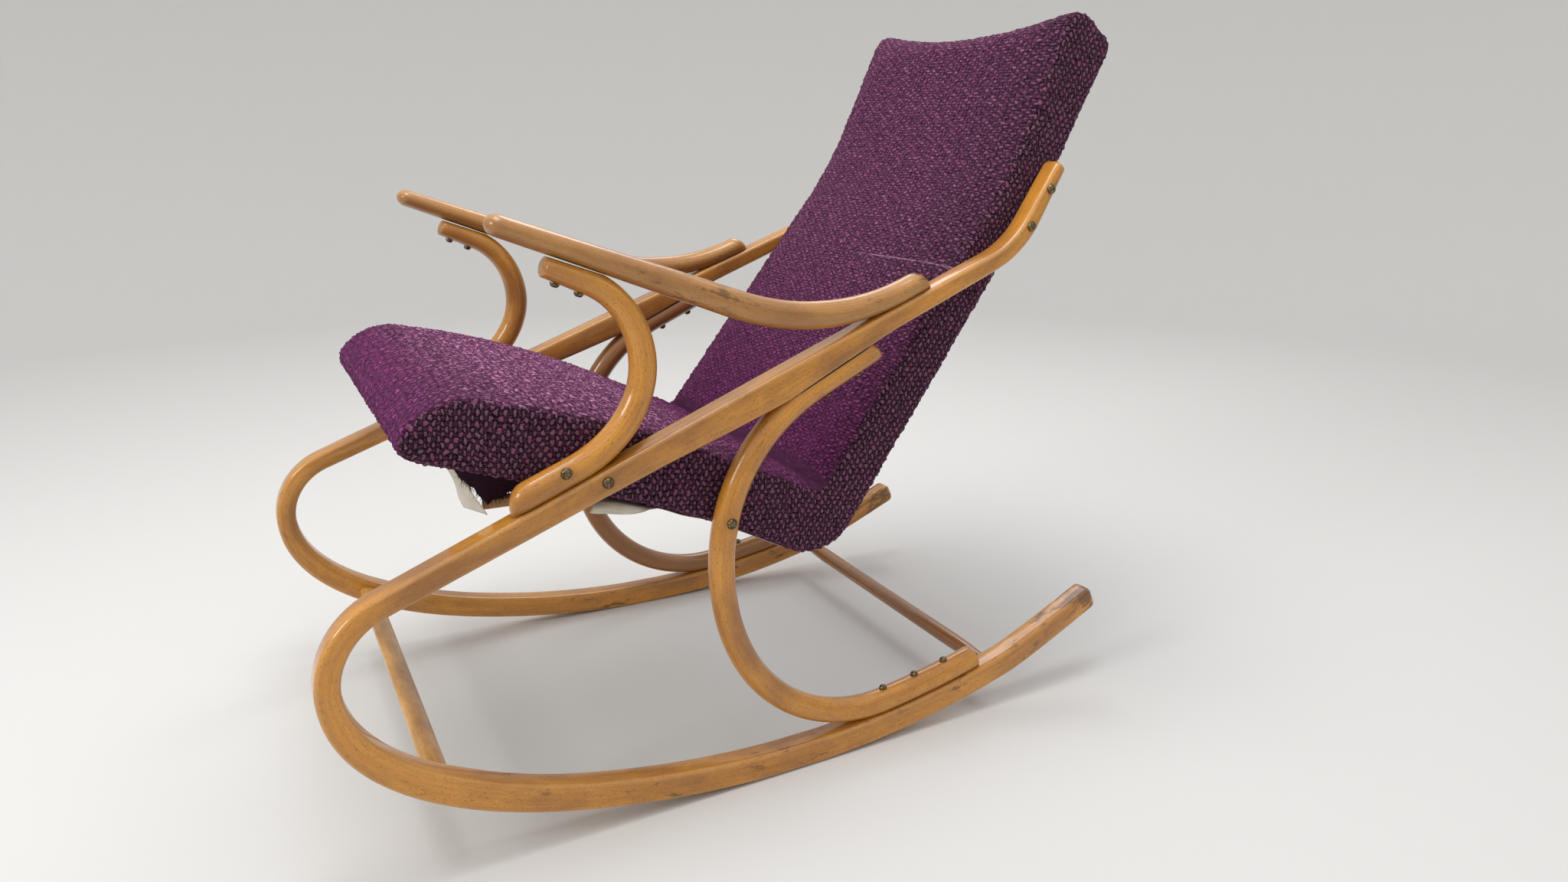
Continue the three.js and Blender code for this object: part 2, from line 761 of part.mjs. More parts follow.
// Stretchers
const frontAhead = railMiddle(-frontStretcherReach + frontStretcherWidth, rockerStations);
const frontTilt = Math.atan2(frontSeat.y - frontAhead.y, frontSeat.x - frontAhead.x);
const frontSections = stretcherSections(
  frontStretcherWidth, frontStretcherDepth, frontStretcherWidth, frontStretcherDepth, 12);
addMesh('front_stretcher', stretcher(frontSeat.x, frontSeat.y, frontTilt, frontSections), looks.wood);
const rearSections = stretcherSections(
  rearStretcherDiameter, rearStretcherDiameter, rearStretcherEndDiameter, rearStretcherEndDiameter, 12);
addMesh('rear_stretcher', stretcher(rearSeat.x, rearSeat.y, 0, rearSections), looks.wood);

// Shell outline: its corners clockwise, and the edge that leaves each of them
const shellCorners = [
  noseBottom, noseTop, seatBend, crease, backBend, topFront, topRear, rearBend, heel, bottomBend,
];
const edgeNames = [
  'nose', 'seatFront', 'seatRear', 'backLow', 'backHigh', 'top', 'rearHigh', 'rearLow', 'bottomRear',
  'bottomFront',
];
const edge = Object.fromEntries(edgeNames.map((name, i) => [name, i]));
const cornerSteps = [3, 6, 8, 2, 6, 4, 3, 3, 5, 6];
const edgeSteps = [1, 1, 3, 5, 3, 1, 2, 4, 1, 2];

function shellLine(side, inset) {
  const from = shellCorners[side];
  const to = shellCorners[(side + 1) % shellCorners.length];
  const heading = toward(at(from.reach, from.rise), at(to.reach, to.rise));
  return { from: along(at(from.reach, from.rise), rightOf(heading), inset), heading };
}

function meet(side, inset, other, otherInset) {
  const line = shellLine(side, inset);
  const cross = shellLine(other, otherInset);
  return crossing(line.from, line.heading, cross.from, cross.heading);
}

// A corner of the outline moved inwards with its two edges, its radius following
function insetCorner(corner, insetBefore, insetAfter) {
  const before = (corner + shellCorners.length - 1) % shellCorners.length;
  const place = meet(before, insetBefore, corner, insetAfter);
  const turn = shellLine(before, 0).heading.cross(shellLine(corner, 0).heading);
  const inset = turn > 0 ? Math.max(insetBefore, insetAfter) : -Math.min(insetBefore, insetAfter);
  const radius = shellCorners[corner].radius + inset;
  return { place, radius: Math.max(radius, clearance) };
}

// Roundings that would run into each other on a short edge are made smaller
function fitRoundings(corners) {
  const reaches = corners.map(({ place, radius }, i) => {
    const before = corners[(i + corners.length - 1) % corners.length].place;
    const after = corners[(i + 1) % corners.length].place;
    return radius * Math.tan(turnAt(before, place, after) / 2);
  });
  const fits = corners.map(({ place }, i) => {
    const next = (i + 1) % corners.length;
    return (fitShare * place.distanceTo(corners[next].place)) / (reaches[i] + reaches[next]);
  });
  return corners.map(({ place, radius }, i) => {
    const fit = Math.min(1, fits[i], fits[(i + corners.length - 1) % corners.length]);
    return { place, radius: radius * fit };
  });
}

function insetOutline(inset, topInset = inset) {
  const insets = shellCorners.map((corner, side) => (side === edge.top ? topInset : inset));
  const corners = fitRoundings(shellCorners.map((corner, i) => {
    return insetCorner(i, insets[(i + insets.length - 1) % insets.length], insets[i]);
  }));
  const points = [];
  corners.forEach(({ place, radius }, i) => {
    const before = corners[(i + corners.length - 1) % corners.length].place;
    const after = corners[(i + 1) % corners.length];
    const curve = roundedCorner(before, place, after.place, radius);
    points.push(...curve.getPoints(cornerSteps[i]));
    const beyond = corners[(i + 2) % corners.length].place;
    const next = roundedCorner(place, after.place, beyond, after.radius).v0;
    for (let step = 1; step < edgeSteps[i]; step += 1) {
      points.push(curve.v3.clone().lerp(next, step / edgeSteps[i]));
    }
  });
  return points;
}

// Where each outline point lies: the swell of seat and back, and the share of the top's sag
const restOutline = insetOutline(0);
const restSwell = restOutline.map((point, i) => {
  const count = restOutline.length;
  const heading = toward(restOutline[(i + count - 1) % count], restOutline[(i + 1) % count]);
  const outward = rightOf(heading).negate();
  const creaseAt = at(crease.reach, crease.rise);
  const seat = toward(at(noseTop.reach, noseTop.rise), creaseAt);
  const back = toward(creaseAt, at(topFront.reach, topFront.rise));
  const seatLength = creaseAt.distanceTo(at(noseTop.reach, noseTop.rise));
  const backLength = creaseAt.distanceTo(at(topFront.reach, topFront.rise));
  const ahead = point.clone().sub(creaseAt);
  const seatShare = -ahead.dot(seat) / seatLength;
  const backShare = ahead.dot(back) / backLength;
  const facing = outward.dot(rightOf(seat).negate());
  const facingBack = outward.dot(rightOf(back).negate());
  const swell = at(0, 0);
  if (seatShare > 0 && seatShare < 1 && facing > facingShare) {
    swell.addScaledVector(outward, seatCrown * Math.sin(Math.PI * seatShare));
  }
  if (backShare > 0 && backShare < 1 && facingBack > facingShare) {
    swell.addScaledVector(outward, backCrown * Math.sin(Math.PI * backShare));
  }
  const topShare = THREE.MathUtils.smoothstep(backShare, ...topSagShares);
  return swell.addScaledVector(back, -topSag * topShare);
});

// Cover: crowned seat and back, rounded long edges, a cavity open under the seat
function coverRing(side, swellShare, inset, sideInset) {
  return insetOutline(inset).map((point, i) => {
    const place = along(point, restSwell[i], swellShare);
    const half = halfShell(point.x, point.y);
    return new THREE.Vector3(side * half - Math.sign(side) * sideInset, place.x, place.y);
  });
}

const coverRings = [];
for (const turnShare of [0, 0.5, 1]) {
  const angle = (turnShare * Math.PI) / 2;
  const [inset, sideInset] = [edgeRound * (1 - Math.sin(angle)), edgeRound * (1 - Math.cos(angle))];
  coverRings.unshift(coverRing(1, 0, inset, sideInset));
}
for (const acrossShare of [0.7, 0.36, 0, -0.36, -0.7]) {
  const swellShare = 1 - acrossShare ** 2;
  coverRings.push(coverRing(acrossShare, swellShare, 0, edgeRound * Math.abs(acrossShare)));
}
for (const turnShare of [1, 0.5, 0]) {
  const angle = (turnShare * Math.PI) / 2;
  const [inset, sideInset] = [edgeRound * (1 - Math.sin(angle)), edgeRound * (1 - Math.cos(angle))];
  coverRings.push(coverRing(-1, 0, inset, sideInset));
}
const orderedRings = coverRings.sort((a, b) => a[0].x - b[0].x);
const topInset = coverWall + topSag;
const cavity = fitAcross(slab(insetOutline(coverWall, topInset), -1, 1), coverWall);

function bottomOpening() {
  const bendPlace = at(bottomBend.reach, bottomBend.rise);
  const front = at(noseBottom.reach, noseBottom.rise);
  const rear = at(heel.reach, heel.rise);
  const start = along(front, toward(front, bendPlace), hemLength);
  const end = along(rear, toward(rear, bendPlace), hemLength + heel.radius);
  const down = rightOf(toward(start, end)).normalize();
  const outer = [start, bendPlace, end].map((point) => along(point, down, overrun));
  const inner = [start, bendPlace, end].map((point) => along(point, down, -overrun - coverWall));
  return fitAcross(slab([...outer, ...inner.reverse()], -1, 1), hemWidth);
}

const sideHoles = holes.filter((hole, i) => fasteners[i].bolt);
const leftHoles = sideHoles.map((hole) => remap(hole, (x, y, z) => x + halfSpacing(y, z)));
const rightHoles = sideHoles.map((hole) => flipFaces(remap(hole, (x, y, z) => -x - halfSpacing(y, z))));
const boltHoles = [...leftHoles, ...rightHoles];
const coverCutters = [cavity, bottomOpening(), ...boltHoles];
addMesh('upholstery_cover', cut(loft(orderedRings), coverCutters), looks.fabric);

// Inside the shell, all kept within the cover's cavity
const inner = coverWall + clearance;
const innerTop = topInset + clearance;
const room = fitAcross(slab(insetOutline(inner, innerTop), -1, 1), 0);
const foamUnder = inner + seatFoamDepth;
const foamBehind = inner + backFoamDepth;
const railTop = foamUnder + strapDepth + 2 * clearance;
const postFront = foamBehind + strapDepth + 2 * clearance;

function addAcross(name, points, inset, look) {
  const piece = keepWithin(fitAcross(slab(points, -1, 1), inset), room);
  addMesh(name, cut(piece, boltHoles), look);
}

function bendPoints(corner, inset) {
  const { place, radius } = insetCorner(corner, inset, inset);
  const before = shellLine(corner - 1, inset);
  const after = shellLine(corner, inset);
  const reach = Math.abs(shellCorners[corner].reach);
  return roundedCorner(along(place, before.heading, -reach - radius), place,
    along(place, after.heading, reach + radius), radius).getPoints(cornerSteps[corner]);
}

addAcross('seat_foam', [
  meet(edge.nose, inner, edge.seatFront, inner),
  ...bendPoints(edge.seatRear, inner),
  meet(edge.seatRear, inner, edge.backLow, coverWall),
  meet(edge.seatRear, foamUnder, edge.backLow, coverWall),
  ...bendPoints(edge.seatRear, foamUnder).reverse(),
  meet(edge.nose, inner, edge.seatFront, foamUnder),
], inner, looks.foam);
addAcross('back_foam', [
  meet(edge.seatRear, foamUnder, edge.backLow, inner),
  ...bendPoints(edge.backHigh, inner),
  meet(edge.backHigh, inner, edge.top, innerTop),
  meet(edge.backHigh, foamBehind, edge.top, innerTop),
  ...bendPoints(edge.backHigh, foamBehind).reverse(),
  meet(edge.seatRear, foamUnder, edge.backLow, foamBehind),
], inner, looks.foam);

// Side boards that the frame bolts go into
const boardOut = -memberWidth / 2 - 2 * clearance - coverWall;
const sideRoom = slab(insetOutline(inner, innerTop), 2 * (boardOut - boardWidth), 0);

function addBoards(name, points) {
  const board = keepWithin(slab(points, boardOut - boardWidth, boardOut), sideRoom);
  addToSides(name, cut(board, sideHoles), looks.innerWood);
}

addBoards('seat_board', [
  meet(edge.bottomFront, inner, edge.nose, inner),
  meet(edge.nose, inner, edge.seatFront, railTop),
  ...bendPoints(edge.seatRear, railTop),
  meet(edge.seatRear, railTop, edge.rearLow, inner),
  meet(edge.rearLow, inner, edge.bottomRear, inner),
  meet(edge.bottomRear, inner, edge.bottomFront, inner),
]);
addBoards('back_post', [
  meet(edge.seatRear, railTop - clearance, edge.backLow, postFront),
  ...bendPoints(edge.backHigh, postFront),
  meet(edge.backHigh, postFront, edge.top, innerTop),
  meet(edge.top, innerTop, edge.rearHigh, inner),
  meet(edge.rearHigh, inner, edge.rearLow, inner),
  meet(edge.seatRear, railTop - clearance, edge.rearLow, inner),
]);

// Cross rails between the boards
const betweenBoards = inner + boardWidth + clearance;
addAcross('seat_front_rail', [
  meet(edge.bottomFront, inner, edge.nose, inner),
  meet(edge.nose, inner, edge.seatFront, railTop),
  meet(edge.nose, inner + crossRailDepth, edge.seatFront, railTop),
  meet(edge.nose, inner + crossRailDepth, edge.bottomFront, inner),
], betweenBoards, looks.innerWood);
addAcross('seat_rear_rail', [
  meet(edge.seatRear, railTop, edge.rearLow, inner + crossRailDepth),
  meet(edge.seatRear, railTop, edge.rearLow, inner),
  meet(edge.rearLow, inner, edge.bottomRear, inner),
  meet(edge.bottomRear, inner, edge.rearLow, inner + crossRailDepth),
], betweenBoards, looks.innerWood);
addAcross('back_top_rail', [
  meet(edge.backHigh, postFront, edge.top, innerTop + crossRailDepth),
  meet(edge.backHigh, postFront, edge.top, innerTop),
  meet(edge.top, innerTop, edge.rearHigh, inner),
  meet(edge.rearHigh, inner, edge.top, innerTop + crossRailDepth),
], betweenBoards, looks.innerWood);

// Elastic webbing across the boards, under the seat foam and behind the back foam
function webbingPath(start, corner, inset, end) {
  const { place, radius } = insetCorner(corner, inset, inset);
  const turn = roundedCorner(start, place, end, radius);
  const path = new THREE.CurvePath();
  path.add(new THREE.LineCurve(start, turn.v0));
  path.add(turn);
  path.add(new THREE.LineCurve(turn.v3, end));
  return path;
}

function addStraps(name, path, count) {
  for (let strap = 0; strap < count; strap += 1) {
    const middleShare = (strap + 0.5) / count;
    const faces = [[], []];
    for (const edgeShare of [-0.5, 0, 0.5]) {
      const share = middleShare + (edgeShare * strapWidth) / path.getLength();
      const place = path.getPointAt(share);
      const down = rightOf(path.getTangentAt(share));
      faces[0].push(place);
      faces[1].unshift(along(place, down, strapDepth));
    }
    addAcross(`${name}_${strap + 1}`, faces.flat(), inner, looks.webbing);
  }
}

const strapUnder = foamUnder + clearance;
const strapBehind = foamBehind + clearance;
addStraps('seat_strap', webbingPath(
  meet(edge.nose, inner + crossRailDepth, edge.seatFront, strapUnder), edge.seatRear, strapUnder,
  meet(edge.seatRear, strapUnder, edge.backLow, postFront)), seatStrapCount);
addStraps('back_strap', webbingPath(
  meet(edge.seatRear, foamUnder, edge.backLow, strapBehind), edge.backHigh, strapBehind,
  meet(edge.backHigh, strapBehind, edge.top, innerTop + crossRailDepth)), backStrapCount);

// Dust cover: thin cloth that sags under the seat, its front torn in tongues
function bottomBendCurve() {
  const under = -clearance;
  const { place, radius } = insetCorner(edge.bottomFront, under, under);
  const from = meet(edge.bottomRear, under, edge.rearLow, 0);
  const to = meet(edge.bottomFront, under, edge.nose, 0);
  return roundedCorner(from, place, to, radius);
}

const bottomCurve = bottomBendCurve();

function underSeat(reach) {
  const line = reach > bottomCurve.v0.x ? edge.bottomRear : edge.bottomFront;
  if (reach > bottomCurve.v3.x && reach < bottomCurve.v0.x) {
    const share = (bottomCurve.v0.x - reach) / (bottomCurve.v0.x - bottomCurve.v3.x);
    const place = bottomCurve.getPoint(share);
    return { place, down: rightOf(bottomCurve.getTangent(share).normalize()).negate() };
  }
  const { from, heading } = shellLine(line, -clearance);
  return { place: crossing(from, heading, at(reach, 0), at(0, 1)), down: rightOf(heading).negate() };
}

const dustRings = tearShares.map((tearShare, i) => {
  const side = -1 + (2 * i) / (tearShares.length - 1);
  const front = dustFrontReach + tearShare * hemLength;
  const faces = [[], []];
  for (const share of dustShares) {
    const { place, down } = underSeat(THREE.MathUtils.lerp(front, dustRearReach, share));
    const sagShare = THREE.MathUtils.lerp(sagStartShare, 1, share);
    const sag = dustSag * (1 - side ** 2) * Math.sin(Math.PI * sagShare);
    const half = halfShell(place.x, place.y) - dustMargin;
    const upper = along(place, down, sag);
    const lower = along(place, down, sag + dustDepth);
    faces[0].push(new THREE.Vector3(side * half, upper.x, upper.y));
    faces[1].unshift(new THREE.Vector3(side * half, lower.x, lower.y));
  }
  return faces.flat();
});
addMesh('dust_cover', cut(loft(dustRings), boltHoles), looks.lining);

// The strip of lining that still hangs from the seat's front corner
const flapTop = underSeat(-flapReach);
const flapHang = [
  flapTop.place,
  along(flapTop.place, toward(at(0, 0), at(1, 0)), dustDepth),
  at(flapTop.place.x + dustMargin / 2 + dustDepth, flapTop.place.y - flapHeight),
  at(flapTop.place.x + dustMargin / 2, flapTop.place.y - flapHeight),
];
const flap = slab(flapHang.map((point) => point.clone().setY(point.y - clearance)), -1, 0);
addMesh('torn_lining', remap(flap, (x, y, z) => {
  return halfShell(y, z) - dustMargin + x * flapWidth;
}), looks.lining);

// The origin lies on the floor at the middle of the chair's length and width
const box = new THREE.Box3().setFromObject(chair);
chair.position.y = -(box.min.y + box.max.y) / 2;
chair.position.z = -box.min.z;

export default chair;
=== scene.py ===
from math import cos, radians, sin, tan, tau

import bmesh
import bpy
import numpy as np
from mathutils import Matrix, Vector
from mathutils.geometry import interpolate_bezier


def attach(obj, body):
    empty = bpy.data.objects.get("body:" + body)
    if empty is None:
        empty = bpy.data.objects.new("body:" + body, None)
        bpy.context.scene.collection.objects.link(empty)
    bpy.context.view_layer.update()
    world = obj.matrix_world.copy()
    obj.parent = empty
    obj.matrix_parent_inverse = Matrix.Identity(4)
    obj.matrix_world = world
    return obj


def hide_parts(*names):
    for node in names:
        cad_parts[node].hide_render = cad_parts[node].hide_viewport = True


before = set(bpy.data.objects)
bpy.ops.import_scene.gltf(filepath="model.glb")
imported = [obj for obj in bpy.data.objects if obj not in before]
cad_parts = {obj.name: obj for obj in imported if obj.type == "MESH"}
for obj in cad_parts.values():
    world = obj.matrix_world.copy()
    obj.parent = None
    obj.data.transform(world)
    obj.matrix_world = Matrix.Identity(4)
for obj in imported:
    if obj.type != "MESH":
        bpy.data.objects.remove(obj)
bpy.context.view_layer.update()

# Camera
# The photograph is taken standing to the chair's left and a little in front of it,
# from chest height, with the view tipped down towards the seat.
scene = bpy.context.scene


def new_object(name, data):
    """An object in the scene."""
    made = bpy.data.objects.new(name, data)
    scene.collection.objects.link(made)
    return made


camera = new_object("camera", bpy.data.cameras.new("camera"))
camera.data.sensor_width = 36
camera.data.lens = 24.58
heading_turn = Matrix.Rotation(radians(62.28), 4, "Z")
tip_down = Matrix.Rotation(radians(90 - 16.0), 4, "X")
roll = Matrix.Rotation(radians(-0.10), 4, "Z")
camera.matrix_world = Matrix.Translation((1.3866, -0.5690, 0.800)) @ heading_turn @ tip_down @ roll
scene.camera = camera

# Side rails
# Each side frame is one length of beech, steam-bent into rocker, front loop and rail.
# Its route is laid along the outer edge, in millimetres behind the floor contact and above the floor.
mm = 0.001
rail_width = 32
rail_arris = 6
rocker_depth = 34.6
rail_route = [
    ([(503, 113.5), (431.5, 80.6), (370, 54.2), (346, 47.5)], [33, rocker_depth]),
    ([(346, 47.5), (243.1, 18.5), (136.9, 2.5), (30, 0)], [rocker_depth]),
    ([(30, 0), (-30, 0)], [rocker_depth]),
    ([(-30, 0), (-119.6, 2.1), (-208.8, 13.7), (-296, 34.5)], [rocker_depth]),
    ([(-296, 34.5), (-454.3, 72.2), (-567, 145.4), (-567, 249.5)], [rocker_depth, 36, 31.8, 26.6]),
    ([(-567, 249.5), (-567, 289.1), (-541.9, 328.7), (-501, 344.5)], [26.6, 25.2]),
    ([(-501, 344.5), (289.9, 649.5)], [25.2, 26.6, 28.1, 29.2, 31.5, 35.2, 38.1, 31.1, 25.5, 24.4, 22.9]),
    ([(289.9, 649.5), (313.1, 658.4), (333.1, 674.1), (347.4, 694.4)], [22.9]),
    ([(347.4, 694.4), (394, 761)], [22.9, 17.5]),
]


def lay_route(route, spacing=8):
    """Even places along a route, with the heading and the wood's depth at each."""
    places, depths = [], []
    for knots, sizes in route:
        knots = [Vector(knot) for knot in knots]
        if len(knots) == 2:
            knots = [knots[0].lerp(knots[1], share) for share in (0, 1 / 3, 2 / 3, 1)]
        steps = max(2, round((knots[3] - knots[0]).length / spacing))
        shares = np.linspace(0, len(sizes) - 1, steps + 1)
        bend = interpolate_bezier(*knots, steps + 1)
        first = 1 if places else 0
        places += bend[first:]
        depths += list(np.interp(shares, range(len(sizes)), sizes))[first:]
    stations = []
    for i, place in enumerate(places):
        ahead = places[min(i + 1, len(places) - 1)]
        behind = places[max(i - 1, 0)]
        stations.append((place.to_2d(), (ahead - behind).to_2d().normalized(), depths[i]))
    return stations


last_turn = radians(84)


def round_ends(stations, rounds, seats=(0, 0), steps=6):
    """Adds shrinking stations at both ends; a seat of 1 or -1 keeps an end's left or right side in line."""
    full = [(place, heading, depth, 1) for place, heading, depth in stations]
    ends = []
    for end, way in ((0, -1), (-1, 1)):
        place, heading, depth = stations[end]
        upward = Vector((-heading.y, heading.x))
        tip = []
        for step in range(1, steps + 1):
            angle = last_turn * step / steps
            scale = cos(angle)
            shift = upward * seats[end] * depth / 2 * (1 - scale)
            advance = heading * way * rounds[end] * sin(angle)
            tip.append((place + advance + shift, heading, depth, scale))
        ends.append(tip)
    return ends[0][::-1] + full + ends[1]


def bevel(body, geom, offset, segments, affect="EDGES"):
    """Rounds edges or corners of a mesh."""
    bmesh.ops.bevel(
        body, geom=geom, offset=offset, affect=affect, segments=segments, profile=0.5, material=-1
    )


def only(kind, items):
    """The items of one kind in an operator's result."""
    return [item for item in items if type(item).__name__ == kind]


def extrude_sections(bar, stations):
    """Extrudes a bar's one face along its stations; gives each station and the face to set there."""
    bar.faces.ensure_lookup_table()
    face = bar.faces[0]
    for count, station in enumerate(stations):
        if count:
            made = bmesh.ops.extrude_face_region(bar, geom=[face])["geom"]
            if count > 1 and face.is_valid:
                bmesh.ops.delete(bar, geom=[face], context="FACES_ONLY")
            face = only("BMFace", made)[0]
        yield station, face


def cut_across(body, spot, outward, **settings):
    """Cuts a mesh by a plane and gives the cut's edges."""
    geom = body.verts[:] + body.edges[:] + body.faces[:]
    cut = bmesh.ops.bisect_plane(body, geom=geom, plane_co=spot, plane_no=outward, **settings)
    return only("BMEdge", cut["geom_cut"])


def draw_bar(stations, width, depth, arris=0, cuts=()):
    """A bent bar along its stations, capped at its ends: square if it has an arris, else round."""
    bar = bmesh.new()
    if arris:
        bmesh.ops.create_grid(bar, x_segments=1, y_segments=1, size=0.5)
    else:
        bmesh.ops.create_circle(bar, cap_ends=True, segments=28, radius=0.5)
    bmesh.ops.scale(bar, vec=(width, depth, 1), verts=bar.verts)
    if arris:
        bevel(bar, bar.verts[:], arris, 5, "VERTICES")
    straight = bar.verts.layers.float_vector.new("straight")
    seam = bar.verts.layers.float.new("seam")
    for vert in bar.verts:
        vert[straight] = vert.co
    run = 0
    last = stations[0][0]
    for (place, heading, local_depth, scale), face in extrude_sections(bar, stations):
        run += (place - last).length
        last = place
        upward = Vector((-heading.y, heading.x))
        for vert in face.verts:
            across, up, _ = vert[straight]
            if arris:
                lift = (local_depth - depth) / 2 * (1 if up > 0 else -1)
            else:
                lift = up * (local_depth / depth - 1)
            spot = place + upward * (up + lift) * scale
            vert.co = (across * scale, spot.x, spot.y)
            vert[straight] = (across, up, run)
    for spot, outward in cuts:
        rim = cut_across(bar, (0, *spot), (0, *outward), clear_outer=True)
        bmesh.ops.edgeloop_fill(bar, edges=rim)
        for vert in {vert for item in rim for vert in item.verts}:
            vert[seam] = 1
    bmesh.ops.scale(bar, vec=(mm, mm, mm), verts=bar.verts)
    for vert in bar.verts:
        vert[straight] = vert[straight] * mm
    return bar


sharp_angle = radians(38)


def shade_smooth(body):
    """Turns the faces outward and shades all but the sharp edges smooth."""
    bmesh.ops.recalc_face_normals(body, faces=body.faces)
    for face in body.faces:
        face.smooth = True
    for rim in body.edges:
        rim.smooth = rim.calc_face_angle(0) < sharp_angle


def mesh_object(name, body):
    """An object with a finished mesh."""
    mesh = bpy.data.meshes.new(name)
    body.to_mesh(mesh)
    body.free()
    return new_object(name, mesh)


def set_look(thing, look):
    """Gives an object one look."""
    thing.data.materials.clear()
    thing.data.materials.append(look)


def declare(piece, look, slot, *nodes):
    """Makes an object a piece of the chair that stands for its CAD nodes."""
    set_look(piece, look)
    if nodes:
        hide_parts(*nodes)
    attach(piece, "root")


def show_piece(name, body, *labels):
    """Makes a finished mesh a piece of the chair."""
    piece = mesh_object(name, body)
    declare(piece, *labels)
    return piece


# The frames lean in towards the top and toe in towards the rear, so both are sheared sideways
foot_half = 292
lean_in = 24 / 720
toe_in = 12 / 530
row_shift = 26.987
left_frame = Matrix(
    ((1, -toe_in, -lean_in, foot_half * mm), (0, 1, 0, row_shift * mm), (0, 0, 1, 0), (0, 0, 0, 1))
)
sides = (("left", left_frame), ("right", Matrix.Scale(-1, 4, (1, 0, 0)) @ left_frame))
other_log = 30


def show_on_sides(name, body, left_look, right_look, offset, wear_table=((0, 0),)):
    """A side piece in the left frame and its mirror image in the right one, each from its own log."""
    woods = (left_look, offset), (right_look, offset + other_log)
    for (side, placing), (look, shift) in zip(sides, woods):
        copy = body.copy()
        straight = copy.verts.layers.float_vector["straight"]
        wear = copy.verts.layers.float.new("wear")
        for vert in copy.verts:
            vert[wear] = float(np.interp(vert[straight].z, *zip(*wear_table)))
            vert[straight] = vert[straight] + Vector((0, 0, shift))
        bmesh.ops.transform(copy, matrix=placing, verts=copy.verts)
        shade_smooth(copy)
        show_piece(f"{side}_{name}_wood", copy, look, "bent_wood", f"{side}_{name}")


def add_node(tree, kind, inputs=None, **settings):
    """A shader node with its settings and inputs, either sockets or values."""
    made = tree.nodes.new(f"ShaderNode{kind}")
    for key, value in settings.items():
        setattr(made, key, value)
    for key, value in (inputs or {}).items():
        if isinstance(value, bpy.types.NodeSocket):
            tree.links.new(value, made.inputs[key])
        else:
            made.inputs[key].default_value = value
    return made


def maths(tree, operation, *values):
    """A Math node's result."""
    return add_node(tree, "Math", dict(enumerate(values)), operation=operation).outputs[0]


def times(tree, first, second):
    """The product of two values."""
    return maths(tree, "MULTIPLY", first, second)


def vector_maths(tree, operation, *values):
    """A Vector Math node's result."""
    return add_node(tree, "VectorMath", dict(enumerate(values)), operation=operation).outputs[0]


def stretched(tree, vector, *shares):
    """A vector with each part multiplied."""
    return vector_maths(tree, "MULTIPLY", vector, shares)


def split(tree, vector):
    """The three parts of a vector."""
    return add_node(tree, "SeparateXYZ", {0: vector}).outputs


def attribute(tree, name, output="Fac"):
    """A value that the mesh holds at each point."""
    return add_node(tree, "Attribute", attribute_name=name).outputs[output]


def noise(tree, vector, scale, detail=3, roughness=0.55):
    """A Noise Texture's value."""
    inputs = {"Vector": vector, "Scale": scale, "Detail": detail, "Roughness": roughness}
    return add_node(tree, "TexNoise", inputs).outputs[0]


def fade(tree, value, start, end, low=0, high=1):
    """A value moved from one range to another, held at its ends."""
    inputs = {0: value, 1: start, 2: end, 3: low, 4: high}
    return add_node(tree, "MapRange", inputs).outputs[0]


def blend(tree, share, first, second):
    """Two colours mixed by a share."""
    return add_node(tree, "Mix", {0: share, 6: first, 7: second}, data_type="RGBA").outputs[2]


def new_group(name, sockets_in, sockets_out):
    """An empty node group."""
    tree = bpy.data.node_groups.new(name, "ShaderNodeTree")
    for way, sockets in ("INPUT", sockets_in), ("OUTPUT", sockets_out):
        for label, kind in sockets.items():
            tree.interface.new_socket(label, in_out=way, socket_type=f"NodeSocket{kind}")
    return tree, tree.nodes.new("NodeGroupInput").outputs, tree.nodes.new("NodeGroupOutput").inputs


# Grain of bent beech: it follows the length of the wood, so it reads the place before bending
grain, into, out = new_group(
    "beech_grain",
    {"Straight": "Vector", "Light": "Color", "Dark": "Color", "Wear": "Float", "Seam": "Float"},
    {"Colour": "Color", "Roughness": "Float", "Height": "Float"},
)


def along_grain(stretch, *values):
    """Noise drawn out along the wood."""
    return noise(grain, stretched(grain, into["Straight"], 1, 1, stretch), *values)


broad = along_grain(0.05, 85, 4)
streaks = along_grain(0.022, 650, 3)
flecks = along_grain(0.22, 1100, 2)
blotches = along_grain(0.4, 16, 5, 0.62)
dirt = along_grain(0.3, 70, 7, 0.72)
nicks = along_grain(2.2, 95, 6, 0.7)
streaked = fade(grain, streaks, 0.3, 0.7, 0.05, 0.55)
tone = maths(grain, "ADD", fade(grain, broad, 0.3, 0.7, -0.2, 0.4), streaked)
plain = blend(grain, tone, into["Light"], into["Dark"])
fleck_mask = fade(grain, flecks, 0.6, 0.68, 0, 0.75)
flecked = blend(grain, fleck_mask, plain, (0.14, 0.055, 0.016, 1))
aged = blend(grain, fade(grain, blotches, 0.42, 0.64, 0, 0.75), flecked, (0.25, 0.098, 0.026, 1))

